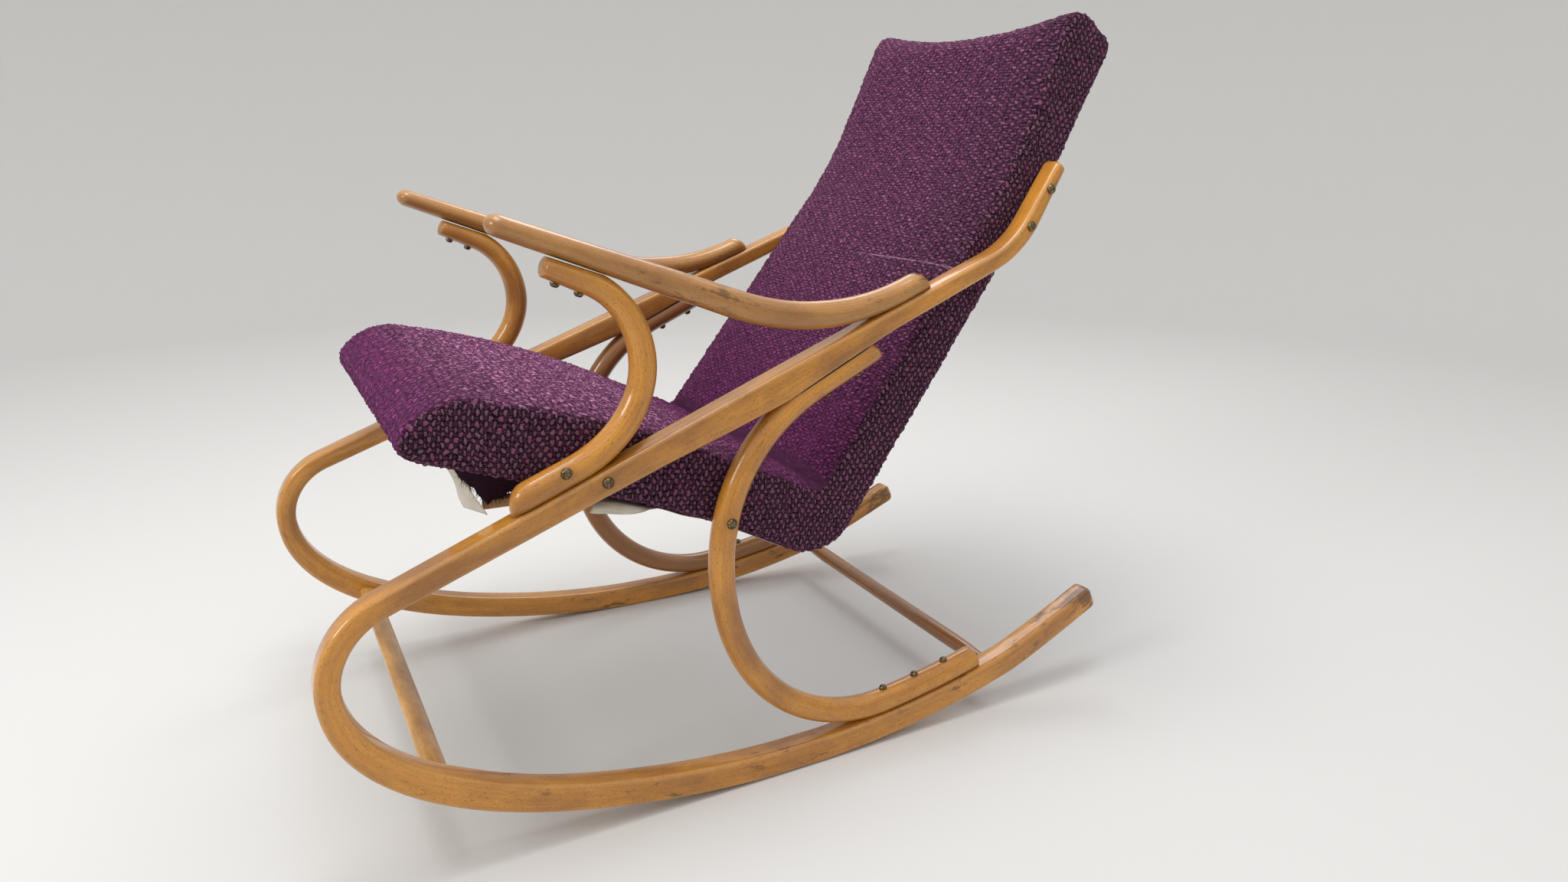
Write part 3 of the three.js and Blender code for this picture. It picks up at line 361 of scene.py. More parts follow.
# Arrises are rubbed paler, partly a painted highlight along the varnished edges; handled places are scuffed
# dark, and dirt sits in the glued joints
flat = split(grain, into["Straight"])
near_side = maths(grain, "DIVIDE", maths(grain, "ABSOLUTE", flat[0]), rail_width * mm / 2)
near_top = maths(grain, "DIVIDE", maths(grain, "ABSOLUTE", flat[1]), rocker_depth * mm / 2)
arris = maths(grain, "ADD", times(grain, near_side, near_top), times(grain, dirt, 0.35))
# Paler arrises: rubbed wear and a painted highlight
rubbed_and_highlit = blend(grain, fade(grain, arris, 0.86, 1.02, 0, 0.45), aged, (0.6, 0.33, 0.125, 1))
scuff_place = maths(grain, "ADD", dirt, times(grain, into["Wear"], 0.16))
scuffs = fade(grain, scuff_place, 0.62, 0.7, 0, 0.8)
scuffed = blend(grain, scuffs, rubbed_and_highlit, (0.11, 0.04, 0.01, 1))
nicked = blend(grain, fade(grain, nicks, 0.69, 0.72, 0, 0.7), scuffed, (0.78, 0.55, 0.3, 1))
joint = fade(grain, into["Seam"], 0.62, 0.95)
jointed = blend(grain, joint, nicked, (0.02, 0.01, 0.005, 1))
grain.links.new(jointed, out["Colour"])
shine = fade(grain, blotches, 0.3, 0.7, 0.24, 0.44)
grain.links.new(maths(grain, "ADD", shine, times(grain, scuffs, 0.12)), out["Roughness"])
fibres = times(grain, streaks, 0.35)
grain.links.new(maths(grain, "SUBTRACT", fibres, times(grain, scuffs, 0.5)), out["Height"])


def new_look(name, **values):
    """A material with its shader."""
    look = bpy.data.materials.new(name)
    look.use_nodes = True
    shader = look.node_tree.nodes["Principled BSDF"]
    for key, value in values.items():
        shader.inputs[key.replace("_", " ")].default_value = value
    return look, look.node_tree, shader


def link_look(tree, shader, colour, height, strength, depth):
    """Gives a shader its colour and relief."""
    relief = add_node(tree, "Bump", {"Height": height, "Strength": strength, "Distance": depth})
    tree.links.new(colour, shader.inputs["Base Color"])
    tree.links.new(relief.outputs["Normal"], shader.inputs["Normal"])


def beech_look(name, light, dark, **values):
    """Varnished beech in its own tones."""
    look, tree, shader = new_look(name, **values)
    inputs = {
        "Straight": attribute(tree, "straight", "Vector"),
        "Wear": attribute(tree, "wear"),
        "Seam": attribute(tree, "seam"),
        "Light": light,
        "Dark": dark,
    }
    wood = add_node(tree, "Group", inputs, node_tree=grain).outputs
    tree.links.new(wood["Roughness"], shader.inputs["Roughness"])
    link_look(tree, shader, wood["Colour"], wood["Height"], 0.35, 0.0004)
    return look


varnish = {"Specular_IOR_Level": 0.35, "Coat_Weight": 0.7, "Coat_Roughness": 0.07}
varnished_beech = beech_look("varnished_beech", (0.68, 0.3, 0.04, 1), (0.45, 0.17, 0.018, 1), **varnish)

rail_stations = []
for place, heading, depth in lay_route(rail_route):
    inward = Vector((heading.y, -heading.x))
    rail_stations.append((place + inward * depth / 2, heading, depth))
side_rail = draw_bar(round_ends(rail_stations, (12, 9)), rail_width, rocker_depth, rail_arris)

# Wear is a share from place to place, in metres along the wood
rail_wear = ((0, 1), (0.05, 0.9), (0.12, 0.35), (0.5, 0.3), (0.9, 0.1), (1.3, 0), (2.3, 0))
show_on_sides("side_rail", side_rail, varnished_beech, varnished_beech, 0, rail_wear)

# Armrests
# A grip of round beech that thickens to the rear, then bends up and is glued along the rail.
# Its underside is planed flat where it lies on the rail.
rail_start = Vector((-501, 344.5))
rail_heading = Vector((0.93304, 0.35978))
above_rail = Vector((-rail_heading.y, rail_heading.x))
joint_gap = 0.3
on_rail = rail_start + above_rail * joint_gap
armrest_route = [
    ([(-341, 711.5), (-71.8, 611.1)], [23.5, 26.5, 30.6, 34]),
    ([(-71.8, 611.1), (3.8, 582.9), (87, 583.4), (162.3, 612.4)], [34, 34, 28]),
    ([(162.3, 612.4), (175.9, 617.6)], [28]),
]
grip_width, grip_depth = 33, 34
grip_stations = round_ends(lay_route(armrest_route, 6), (13, 22), (0, -1))
armrest = draw_bar(grip_stations, grip_width, grip_depth, cuts=[(on_rail, -above_rail)])
armrest_wear = ((0, 0.2), (0.12, 0), (0.22, 0.5), (0.3, 0.55), (0.38, 0), (0.5, 0.1), (0.56, 0.4))
handled_beech = beech_look("handled_beech", (0.52, 0.25, 0.06, 1), (0.36, 0.155, 0.032, 1), Coat_Weight=0.5)
show_on_sides("armrest", armrest, handled_beech, handled_beech, 5, armrest_wear)

# Arm supports
# A C of round beech: its foot is screwed on to the rail, its tip is screwed up into the armrest.
support_route = [
    ([(-330.8, 424.4), (-278.8, 444.4)], [32]),
    ([(-278.8, 444.4), (-227.6, 464.2), (-191, 508.6), (-191, 556)], [32]),
    ([(-191, 556), (-191, 597), (-214.3, 634.1), (-249.3, 648.8)], [32, 28]),
    ([(-249.3, 648.8), (-294.6, 667.9)], [28, 24]),
]
arm_heading = Vector((0.93693, -0.34951))
below_arm = Vector((arm_heading.y, -arm_heading.x))
grip_underside = 14.05
under_grip = Vector((-246.5, 676.3)) + below_arm * (grip_underside + joint_gap)
cuts = [(on_rail, -above_rail), (under_grip, -below_arm)]
support_girth = 32
support_stations = round_ends(lay_route(support_route, 6), (26, 4), (-1, 0))
arm_support = draw_bar(support_stations, support_girth, support_girth, cuts=cuts)
show_on_sides("arm_support", arm_support, varnished_beech, varnished_beech, 10)

# Rear hoops
# A second C of round beech: screwed up under the rail, it swings forward and down on to the rocker.
hoop_route = [
    ([(102.7, 536.5), (35.5, 505.3)], [33]),
    ([(35.5, 505.3), (-54.3, 463.5), (-102.7, 383.6), (-102.7, 290)], [33]),
    ([(-102.7, 290), (-102.7, 130.4), (14.7, 42.4), (133, 55.3)], [33]),
    ([(133, 55.3), (183.1, 60.7), (232.9, 69.3), (282, 80.9)], [33]),
]
bed_run, bed_depth, bed_slope = 593.4, 31.1, 0.074
rail_bed = rail_start + rail_heading * bed_run - above_rail * (bed_depth + joint_gap)
hoop_width, hoop_depth = 32, 33
hoop_stations = round_ends(lay_route(hoop_route, 7), (22, 12), (1, -1))
cuts = [(rail_bed, above_rail - rail_heading * bed_slope)]
rear_hoop = draw_bar(hoop_stations, hoop_width, hoop_depth, cuts=cuts)

# Its foot is hollowed to the rocker's round, which is drawn about a centre high above the floor
rocker_radius = 1276
rocker_centre = Vector((0, 1275.65))
rocker_bed = rocker_radius - rocker_depth - joint_gap
foot_top = 200
seam = rear_hoop.verts.layers.float["seam"]
for vert in rear_hoop.verts:
    spot = Vector(vert.co.yz) / mm
    arm = spot - rocker_centre
    if arm.length > rocker_bed and spot.y < foot_top:
        spot = rocker_centre + arm * (rocker_bed / arm.length)
        vert.co = (vert.co.x, *(spot * mm))
        vert[seam] = 1
# A darker, browner beech for the right rear hoop and the rear stretcher: partly painted shade for the far
# side and under the seat
shaded_brown_beech = beech_look("shaded_brown_beech", (0.4, 0.165, 0.04, 1), (0.24, 0.085, 0.017, 1), Coat_Weight=0.7)
show_on_sides("rear_hoop", rear_hoop, varnished_beech, shaded_brown_beech, 15)

# Stretchers
# A flat rounded bar joins the rockers in front and a turned round one behind, each tenoned in.
# Their sizes are in rows from the rocker inward: how far in, then width and depth.
def shell_half(reach, rise):
    """Half the width between the side frames at a reach and a rise, less a joint's gap."""
    return foot_half - rail_width / 2 - joint_gap - reach * toe_in - rise * lean_in


grain_girth = 0.03


def show_stretcher(name, reach, rise, tilt, sizes, offset, look):
    """A bar from rocker to rocker, with tenons at its ends."""
    half = shell_half(reach, rise)
    stations = [(back - half, width, depth) for back, width, depth in sizes]
    stations += [(-x, width, depth) for x, width, depth in reversed(stations)]
    bar = bmesh.new()
    bmesh.ops.create_circle(bar, cap_ends=True, segments=24, radius=0.5)
    straight = bar.verts.layers.float_vector.new("straight")
    for vert in bar.verts:
        vert[straight] = vert.co
    for (x, width, depth), face in extrude_sections(bar, stations):
        for vert in face.verts:
            across, up, _ = vert[straight]
            vert.co = (x, across * width, up * depth)
            vert[straight] = (across, up, x)
    for vert in bar.verts:
        across, up, x = vert[straight]
        vert[straight] = (across * grain_girth, up * grain_girth, x * mm + offset)
    place = Matrix.Translation((0, (reach + row_shift) * mm, rise * mm))
    placing = place @ Matrix.Rotation(tilt, 4, "X") @ Matrix.Scale(mm, 4)
    bmesh.ops.transform(bar, matrix=placing, verts=bar.verts)
    shade_smooth(bar)
    show_piece(f"{name}_wood", bar, look, "bent_wood", name)


front_sizes = [(-16, 12, 12), (0, 12, 12), (0, 29, 16), (2, 30, 17), (70, 30, 17)]
rear_sizes = [(-16, 12, 12), (0, 12, 12), (0, 17, 17), (2, 18, 18), (10, 18, 18)]
rear_sizes += [(40, 22, 22), (70, 24, 24)]
pale_beech = beech_look("pale_beech", (0.72, 0.39, 0.11, 1), (0.55, 0.26, 0.055, 1), Coat_Weight=0.4)
show_stretcher("front_stretcher", -452, 112, radians(152.6), front_sizes, 6.1, pale_beech)
# The rear stretcher takes the darker beech, partly painted shade
show_stretcher("rear_stretcher", 321, 58.4, 0, rear_sizes, 7.3, shaded_brown_beech)

# Fasteners
# Domed bolts of aged brass hold the shell to the frames, and smaller domed screws hold the bent pieces.
# Each is turned, with a thin flange under a low dome that has gone dark and brown.
def object_place(tree):
    """The place that is being shaded."""
    return add_node(tree, "TexCoord").outputs["Object"]


def spin_profile(body, profile, steps, merge):
    """Turns a profile of radii and heights."""
    line = [body.verts.new((radius, 0, height)) for radius, height in profile]
    rims = [body.edges.new(pair) for pair in zip(line, line[1:])]
    upright, middle = (0, 0, 1), (0, 0, 0)
    bmesh.ops.spin(
        body, geom=line + rims, axis=upright, cent=middle, angle=tau, steps=steps, use_merge=True
    )
    bmesh.ops.remove_doubles(body, verts=body.verts, dist=merge)


def turn_to(direction):
    """The turn from upright to a direction."""
    return Vector((0, 0, 1)).rotation_difference(Vector(direction)).to_matrix().to_4x4()


aged_brass, tree, shader = new_look("aged_brass", Metallic=1.0)
spot = object_place(tree)
tarnish = noise(tree, spot, 420, 4)
pits = noise(tree, spot, 1500, 2)
tint = blend(tree, fade(tree, tarnish, 0.35, 0.65), (0.27, 0.2, 0.11, 1), (0.06, 0.04, 0.02, 1))
tree.links.new(fade(tree, tarnish, 0.3, 0.7, 0.2, 0.42), shader.inputs["Roughness"])
link_look(tree, shader, tint, pits, 0.3, 0.0004)

shank_profile = [(0, -6), (2.5, -6), (2.5, 0.3)]
bolt_profile = [(6.6, 0.3), (6.75, 0.7), (6.3, 2.2), (5.2, 3.6), (3.6, 4.5), (1.8, 4.85), (0, 4.95)]
screw_profile = [(5.4, 0.3), (5.5, 0.6), (5.1, 2.1), (4.2, 3.6), (2.9, 4.45), (1.4, 4.75), (0, 4.8)]

# The way each head points, then its seat on the left side
bolt_way, arm_way, top_way = (1, 0, 0), (0, -0.387, -0.922), (0, 0.422, -0.907)
fastener_seats = {
    "back_bolt_upper": (bolt_way, 16, 384.2, 730.0),
    "back_bolt_lower": (bolt_way, 16, 353.3, 683.4),
    "seat_bolt": (bolt_way, 16, -244.3, 429.2),
    "support_bolt": (bolt_way, 16, -290.9, 447.2),
    "hoop_bolt": (bolt_way, 16, -94.2, 354.2),
    "armrest_screw_1": (arm_way, 0, -284.6, 649.9),
    "armrest_screw_2": (arm_way, 0, -259.2, 638.0),
    "hoop_top_screw_1": (top_way, 0, 92.8, 513.8),
    "hoop_top_screw_2": (top_way, 0, 47.8, 492.8),
    "hoop_foot_screw_1": ((0, -0.111, 0.994), 0, 134.2, 72.0),
    "hoop_foot_screw_2": ((0, -0.154, 0.988), 0, 186.0, 78.9),
    "hoop_foot_screw_3": ((0, -0.195, 0.981), 0, 235.9, 87.7),
}
for name, (outward, *seat) in fastener_seats.items():
    profile = shank_profile + (bolt_profile if "bolt" in name else screw_profile)
    seated = Matrix.Translation(Vector(seat) * mm) @ turn_to(outward) @ Matrix.Scale(mm, 4)
    for side, placing in sides:
        head = bmesh.new()
        spin_profile(head, profile, 24, 0.01)
        bmesh.ops.transform(head, matrix=placing @ seated, verts=head.verts)
        shade_smooth(head)
        show_piece(f"{side}_{name}_brass", head, aged_brass, "brass", f"{side}_{name}")

# Wooden frame inside the shell
# Sawn softwood boards at the sides and rails across, seen only through the torn lining.
frame_wood, tree, shader = new_look("frame_wood", Roughness=0.8)
spot = object_place(tree)
saw_marks = noise(tree, stretched(tree, spot, 0.2, 1, 1), 300, 4)
tint = blend(tree, saw_marks, (0.5, 0.31, 0.14, 1), (0.3, 0.16, 0.06, 1))
link_look(tree, shader, tint, saw_marks, 0.4, 0.0005)
seat_boards = ["left_seat_board", "right_seat_board"]
back_posts = ["left_back_post", "right_back_post"]
for node in seat_boards + back_posts + ["seat_front_rail", "seat_rear_rail", "back_top_rail"]:
    set_look(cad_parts[node], frame_wood)

# Webbing
# Dark elastic straps tacked to the boards cross the frame under the seat foam and behind the back foam.
# Each is a woven band that gives a little in the middle.
def bands(tree, vector, scale, distortion, direction):
    """A Wave Texture's bands."""
    inputs = {"Vector": vector, "Scale": scale, "Distortion": distortion}
    return add_node(tree, "TexWave", inputs, bands_direction=direction).outputs["Color"]


elastic, tree, shader = new_look("elastic", Roughness=0.9, Specular_IOR_Level=0.2)
spot = object_place(tree)
ribs = bands(tree, spot, 60, 0.4, "X")
lint = noise(tree, spot, 260, 4)
tint = blend(tree, ribs, (0.02, 0.014, 0.012, 1), (0.055, 0.035, 0.026, 1))
tint = blend(tree, fade(tree, lint, 0.6, 0.75, 0, 0.4), tint, (0.16, 0.13, 0.1, 1))
link_look(tree, shader, tint, ribs, 0.5, 0.0006)


def copy_shape(node):
    """A node's mesh with its triangles joined."""
    body = bmesh.new()
    body.from_mesh(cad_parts[node].data)
    bmesh.ops.remove_doubles(body, verts=body.verts, dist=0.00001)
    return body


strap_give, strap_width, strap_arris = 0.004, 0.05, 0.0005
behind_back = Vector((0, 0.795, -0.605))
for node in sorted(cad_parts):
    if "strap" not in node:
        continue
    on_seat = node.startswith("seat")
    away = Vector((0, 0, -1)) if on_seat else behind_back
    strap = copy_shape(node)
    bmesh.ops.dissolve_limit(strap, angle_limit=radians(1), verts=strap.verts, edges=strap.edges)
    arrises = [rim for rim in strap.edges if rim.calc_face_angle(0) > radians(50)]
    bevel(strap, arrises, strap_arris, 2)
    end = max(vert.co.x for vert in strap.verts)
    for x in np.linspace(-end, end, 20)[1:-1]:
        cut_across(strap, (x, 0, 0), (1, 0, 0))
    for vert in strap.verts:
        vert.co += away * strap_give * (1 - (vert.co.x / end) ** 2)
    shade_smooth(strap)
    band = show_piece(f"{node}_band", strap, elastic, "webbing", node)

# Foam
# Two blocks of cut foam, yellowed and a little crumbled, lie on the straps and fill the cover.
# Their cut edges have worn round, and the cover's pull keeps them a little smaller than cut.
def bake_modifiers(piece):
    """Applies a piece's modifiers to its mesh."""
    bpy.context.view_layer.update()
    evaluated = piece.evaluated_get(bpy.context.evaluated_depsgraph_get())
    done = bpy.data.meshes.new_from_object(evaluated)
    piece.modifiers.clear()
    piece.data = done


def even_mesh(piece, spacing):
    """Gives a piece a mesh of even faces."""
    remesh = piece.modifiers.new("even", "REMESH")
    remesh.mode = "VOXEL"
    remesh.voxel_size = spacing


def read_vectors(mesh, key):
    """A mesh's places (co) or normals (normal) as an array."""
    vectors = np.empty(len(mesh.vertices) * 3)
    mesh.vertices.foreach_get(key, vectors)
    return vectors.reshape(-1, 3)


def write_places(mesh, places):
    """Puts places back into a mesh and shades it smooth."""
    mesh.vertices.foreach_set("co", places.ravel())
    mesh.shade_smooth()
    mesh.update()


aged_foam, tree, shader = new_look("aged_foam", Roughness=0.95, Specular_IOR_Level=0.1)
spot = object_place(tree)
pores = add_node(tree, "TexVoronoi", {"Vector": spot, "Scale": 620}).outputs["Distance"]
yellowing = noise(tree, spot, 18, 5)
tint = blend(tree, fade(tree, yellowing, 0.35, 0.65), (0.55, 0.42, 0.2, 1), (0.34, 0.2, 0.07, 1))
# Dark spots in the open pores are painted shade
tint = blend(tree, fade(tree, pores, 0.35, 0.1, 0, 0.6), tint, (0.14, 0.08, 0.03, 1))
link_look(tree, shader, tint, pores, 0.7, 0.001)
pad_slack = 0.005
for node in ("seat_foam", "back_foam"):
    pad = mesh_object(f"{node}_pad", copy_shape(node))
    even_mesh(pad, 0.0085)
    soften = pad.modifiers.new("soften", "SMOOTH")
    soften.factor = 0.5
    soften.iterations = 5
    bake_modifiers(pad)
    write_places(pad.data, read_vectors(pad.data, "co") - read_vectors(pad.data, "normal") * pad_slack)
    declare(pad, aged_foam, "foam", node)

# Cover
# Seat and back are one padded shell in a thick basket weave of purple and near-black yarn.
# Its outline's corners have a reach, a rise and a radius, and it is drawn out from side to side.
shell_corners = [(-472, 480, 23), (-423, 544, 72), (-238, 502, 1100), (49, 362, 9), (345, 751, 500)]
shell_corners += [(443, 977, 33), (518, 917, 17), (420, 745, 560), (58, 258, 66), (-117, 358, 1200)]


def half_shell(y, z):
    """Half the shell's width at a place, in metres."""
    return shell_half(y / mm - row_shift, z / mm) * mm


bend_step = 0.009
shell = bmesh.new()
ring = [shell.verts.new((-1, (reach + row_shift) * mm, rise * mm)) for reach, rise, _ in shell_corners]
shell.faces.new(ring)
places = [vert.co.copy() for vert in ring]
for i, (vert, (_, _, radius)) in enumerate(zip(ring, shell_corners)):
    before = places[i] - places[i - 1]
    after = places[(i + 1) % len(places)] - places[i]
    turn = before.angle(after)
    segments = max(4, round(radius * mm * turn / bend_step))
    bevel(shell, [vert], radius * mm * tan(turn / 2), segments, "VERTICES")
shell.faces.ensure_lookup_table()
outline = [vert.co.yz.copy() for vert in shell.faces[0].verts]
made = bmesh.ops.extrude_face_region(shell, geom=shell.faces[:])["geom"]
bmesh.ops.translate(shell, vec=(2, 0, 0), verts=only("BMVert", made))
for vert in shell.verts:
    vert.co.x *= half_shell(vert.co.y, vert.co.z)
bmesh.ops.recalc_face_normals(shell, faces=shell.faces)
caps = [face for face in shell.faces if abs(face.normal.x) > 0.9]
bevel(shell, list({rim for cap in caps for rim in cap.edges}), 0.009, 4)
cover = mesh_object("woven_cover", shell)
even_mesh(cover, 0.0068)
bake_modifiers(cover)

# Foam crowns the seat and back, and the top edge is pulled hollow between its two corners
crease_place, front_place, top_place, nose_spot, bend_spot, heel_spot = (
    np.array([(shell_corners[i][0] + row_shift) * mm, shell_corners[i][1] * mm]) for i in (3, 1, 5, 0, 9, 8)
)
seat_line = crease_place - front_place
back_line = top_place - crease_place
seat_length, back_length = np.linalg.norm(seat_line), np.linalg.norm(back_line)
seat_line, back_line = seat_line / seat_length, back_line / back_length
seat_crown, back_crown, top_hollow = 0.008, 0.007, 0.027


def smooth_share(value, start, end):
    """A share that rises smoothly from start to end."""
    share = np.clip((value - start) / (end - start), 0, 1)
    return share * share * (3 - 2 * share)


def crown(places, normals):
    """Swells the seat and back, and hollows the top edge."""
    from_crease = places[:, 1:] - crease_place
    seat_share = -(from_crease @ seat_line) / seat_length
    back_share = (from_crease @ back_line) / back_length
    across = places[:, 0] / half_shell(places[:, 1], places[:, 2])
    inner = np.clip(1 - across**2, 0, 1)
    swell = 0
    for line, share, most in (seat_line, seat_share, seat_crown), (back_line, back_share, back_crown):
        facing = normals[:, 1:] @ np.array([-line[1], line[0]])
        swell = swell + most * np.sin(np.pi * np.clip(share, 0, 1)) * inner * (facing > 0.3)
    swelled = places + normals * swell[:, None]
    sag = top_hollow * smooth_share(back_share, 0.8, 0.98) * inner
    swelled[:, 1:] -= sag[:, None] * back_line
    return swelled


write_places(cover.data, crown(read_vectors(cover.data, "co"), read_vectors(cover.data, "normal")))

# The foam presses the cloth out between the boards, which hold it flat at the sides and below
before = read_vectors(cover.data, "co")
normals = read_vectors(cover.data, "normal")
held = (np.abs(normals[:, 0]) > 0.8) | (normals[:, 2] < -0.6)
group = cover.vertex_groups.new(name="held")
group.add(np.flatnonzero(held).tolist(), 1, "REPLACE")
cloth = cover.modifiers.new("cloth", "CLOTH")
cloth.settings.use_pressure = True
cloth.settings.uniform_pressure_force = 4
cloth.settings.vertex_group_mass = "held"
cloth.settings.effector_weights.gravity = 0
cloth.settings.quality = 4
cloth.collision_settings.use_collision = False
for step in range(1, 21):
    scene.frame_set(step)
bake_modifiers(cover)
cover.vertex_groups.clear()
swell = ((read_vectors(cover.data, "co") - before) * normals).sum(axis=1)
write_places(cover.data, before + normals * np.clip(swell, -0.0005, 0.005)[:, None])
scene.frame_set(1)

# The lining's opening under the seat, cut clean and hemmed
def underneath(face):
    """Whether a face looks down from under the seat."""
    return face.normal.z < -0.7 and face.calc_center_median().z < 0.5


body = bmesh.new()
body.from_mesh(cover.data)
nose_spot, bend_spot, heel_spot = (Vector((0, *spot)) for spot in (nose_spot, bend_spot, heel_spot))
to_bend = (bend_spot - nose_spot).normalized()
from_bend = (bend_spot - heel_spot).normalized()
front_margin, rear_margin, side_margin, hem_turn = 0.046, 0.112, 0.034, 0.004
hem_front = nose_spot + to_bend * front_margin
hem_rear = heel_spot + from_bend * rear_margin
hem_side = (foot_half - rail_width / 2 + toe_in * row_shift) * mm - side_margin
hem_planes = [(hem_front, to_bend), (hem_rear, from_bend)]
hem_planes += [((side * hem_side, 0, 0), (side, toe_in, lean_in)) for side in (1, -1)]
for spot, outward in hem_planes:
    below = [face for face in body.faces if underneath(face)]
    touched = {item for face in below for item in list(face.verts) + list(face.edges)}
    bmesh.ops.bisect_plane(body, geom=below + list(touched), plane_co=spot, plane_no=outward)
opened = []
for face in filter(underneath, body.faces):
    centre = face.calc_center_median()
    between = (centre - hem_front).dot(to_bend) > 0 and (centre - hem_rear).dot(from_bend) > 0
    if between and abs(centre.x) + toe_in * centre.y + lean_in * centre.z < hem_side:
        opened.append(face)
bmesh.ops.delete(body, geom=opened, context="FACES")
rims = [rim for rim in body.edges if rim.is_boundary]
made = bmesh.ops.extrude_edge_only(body, edges=rims)["geom"]
bmesh.ops.translate(body, vec=(0, 0, hem_turn), verts=only("BMVert", made))
body.to_mesh(cover.data)
body.free()
subdivide = cover.modifiers.new("fine", "SUBSURF")
subdivide.levels = subdivide.render_levels = 1
bake_modifiers(cover)

# The weave runs along the shell from edge to edge, so every point learns its run along the outline
outline = np.array(outline)
spans = np.roll(outline, -1, axis=0) - outline
lengths = np.linalg.norm(spans, axis=1)
runs = np.concatenate([[0], np.cumsum(lengths)[:-1]])
places = read_vectors(cover.data, "co")
best = np.full(len(places), np.inf)
along = np.zeros(len(places))
for start, span, length, run in zip(outline, spans, lengths, runs):
    ahead = places[:, 1:] - start
    share = np.clip(ahead @ span / length**2, 0, 1)
    gap = np.linalg.norm(ahead - share[:, None] * span, axis=1)
    nearer = gap < best
    best[nearer] = gap[nearer]
    along[nearer] = run + share[nearer] * length
weave_run = cover.data.attributes.new("weave_run", "FLOAT_VECTOR", "POINT")
weave_run.data.foreach_set("vector", np.column_stack([places[:, 0], along, np.zeros(len(along))]).ravel())

# The bundles of yarn stand up as knobs, so light and the outline catch on them
turned_run, knob_relief = radians(9), 0.0027
side_across = places[:, 1]
side_along = places[:, 2] * cos(turned_run) + places[:, 1] * sin(turned_run)
on_flank = smooth_share(np.abs(read_vectors(cover.data, "normal")[:, 0]), 0.66, 0.74)


def knobs(across, along):
    """Heights from 0 to 1 of a staggered, uneven weave."""
    drift = np.sin(across * 211 + np.sin(along * 97) * 2) * 0.0011
    sway = np.sin(along * 187 + np.sin(across * 113) * 2) * 0.0012
    column = (across + sway) / 0.0052
    row = (along + drift) / 0.0064
    bundle = np.floor(column), np.floor(row)
    chance = np.modf(np.abs(np.sin(bundle[0] * 12.9898 + bundle[1] * 78.233) * 43758.5453))[0]
    standing = np.where((bundle[0] + bundle[1]) % 2 < 1, 1, 0.35)
    hump = np.cos((column - bundle[0] - 0.5) * 2.6) * np.cos((row - bundle[1] - 0.5) * 2.6)
    wave = np.sin(across * 310 + 1.9 * np.sin(along * 140))
    wave *= np.sin(along * 420 + 2.3 * np.sin(across * 90))
    return np.clip(hump * standing * (0.55 + 0.45 * chance) + 0.24 * wave, 0, 1)


knob = knobs(places[:, 0], along) * (1 - on_flank) + knobs(side_across, side_along) * on_flank
relief = (knob_relief * (knob - 0.45))[:, None]
write_places(cover.data, places + read_vectors(cover.data, "normal") * relief)
cover.data.attributes.new("knob", "FLOAT", "POINT").data.foreach_set("value", knob)


def mix_values(tree, share, first, second):
    """Two values mixed by a share."""
    return add_node(tree, "Mix", {0: share, 2: first, 3: second}).outputs[0]


# Basket weave: thick bundles of yarn stand up one way, and darker ones lie sunk between them
weave, into, out = new_group(
    "basket_weave",
    {"Cloth": "Vector", "Raised": "Color", "Sunk": "Color", "Hollow_shade": "Color"},
    {"Colour": "Color", "Height": "Float"},
)
wobble = into["Cloth"]
for scale, reach in ((13.0, 0.014), (150.0, 0.0078)):
    inputs = {"Vector": into["Cloth"], "Scale": scale, "Detail": 2}
    drift = add_node(weave, "TexNoise", inputs).outputs["Color"]
    centred = vector_maths(weave, "SUBTRACT", drift, (0.5, 0.5, 0.5))
    wobble = vector_maths(weave, "MULTIPLY_ADD", centred, (reach, reach, 0), wobble)
cells = stretched(weave, wobble, 1 / 0.0047, 1 / 0.0063, 0)
cell = vector_maths(weave, "FLOOR", cells)
in_xy = split(weave, vector_maths(weave, "FRACTION", cells))
is_sunk = maths(weave, "FLOORED_MODULO", maths(weave, "ADD", *split(weave, cell)[:2]), 2)
u = maths(weave, "SUBTRACT", in_xy[0], 0.5)
v = maths(weave, "SUBTRACT", in_xy[1], 0.5)
across = mix_values(weave, is_sunk, u, v)
length = mix_values(weave, is_sunk, v, u)
chance = add_node(weave, "TexWhiteNoise", {"Vector": cell}).outputs["Value"]
girth = fade(weave, chance, 0, 1, 2.8, 1.75)


def dome(value, narrowness, power):
    """A hump that falls from 1 to 0 both ways."""
    fall = maths(weave, "POWER", times(weave, maths(weave, "ABSOLUTE", value), narrowness), power)
    return maths(weave, "MAXIMUM", maths(weave, "SUBTRACT", 1, fall), 0)


bulge = times(weave, dome(across, girth, 2), dome(length, 1.9, 3))
plies = maths(weave, "COSINE", times(weave, across, 20))
fuzz = noise(weave, stretched(weave, wobble, 1, 1, 0), 1300, 3)
lift = times(weave, bulge, maths(weave, "SUBTRACT", 1, times(weave, is_sunk, 0.5)))
ridged = times(weave, times(weave, plies, bulge), 0.19)
height = maths(weave, "ADD", maths(weave, "ADD", lift, ridged), times(weave, fuzz, 0.28))
weave.links.new(height, out["Height"])
yarn = blend(weave, is_sunk, into["Raised"], into["Sunk"])
varied = blend(weave, fade(weave, chance, 0, 1, 0, 0.5), yarn, into["Sunk"])
strand = times(weave, fade(weave, plies, 0.1, 0.9, 0, 0.45), is_sunk)
stranded = blend(weave, strand, varied, into["Raised"])
pinker = mix_values(weave, is_sunk, fade(weave, chance, 0.72, 0.78, 0, 0.35), 0)
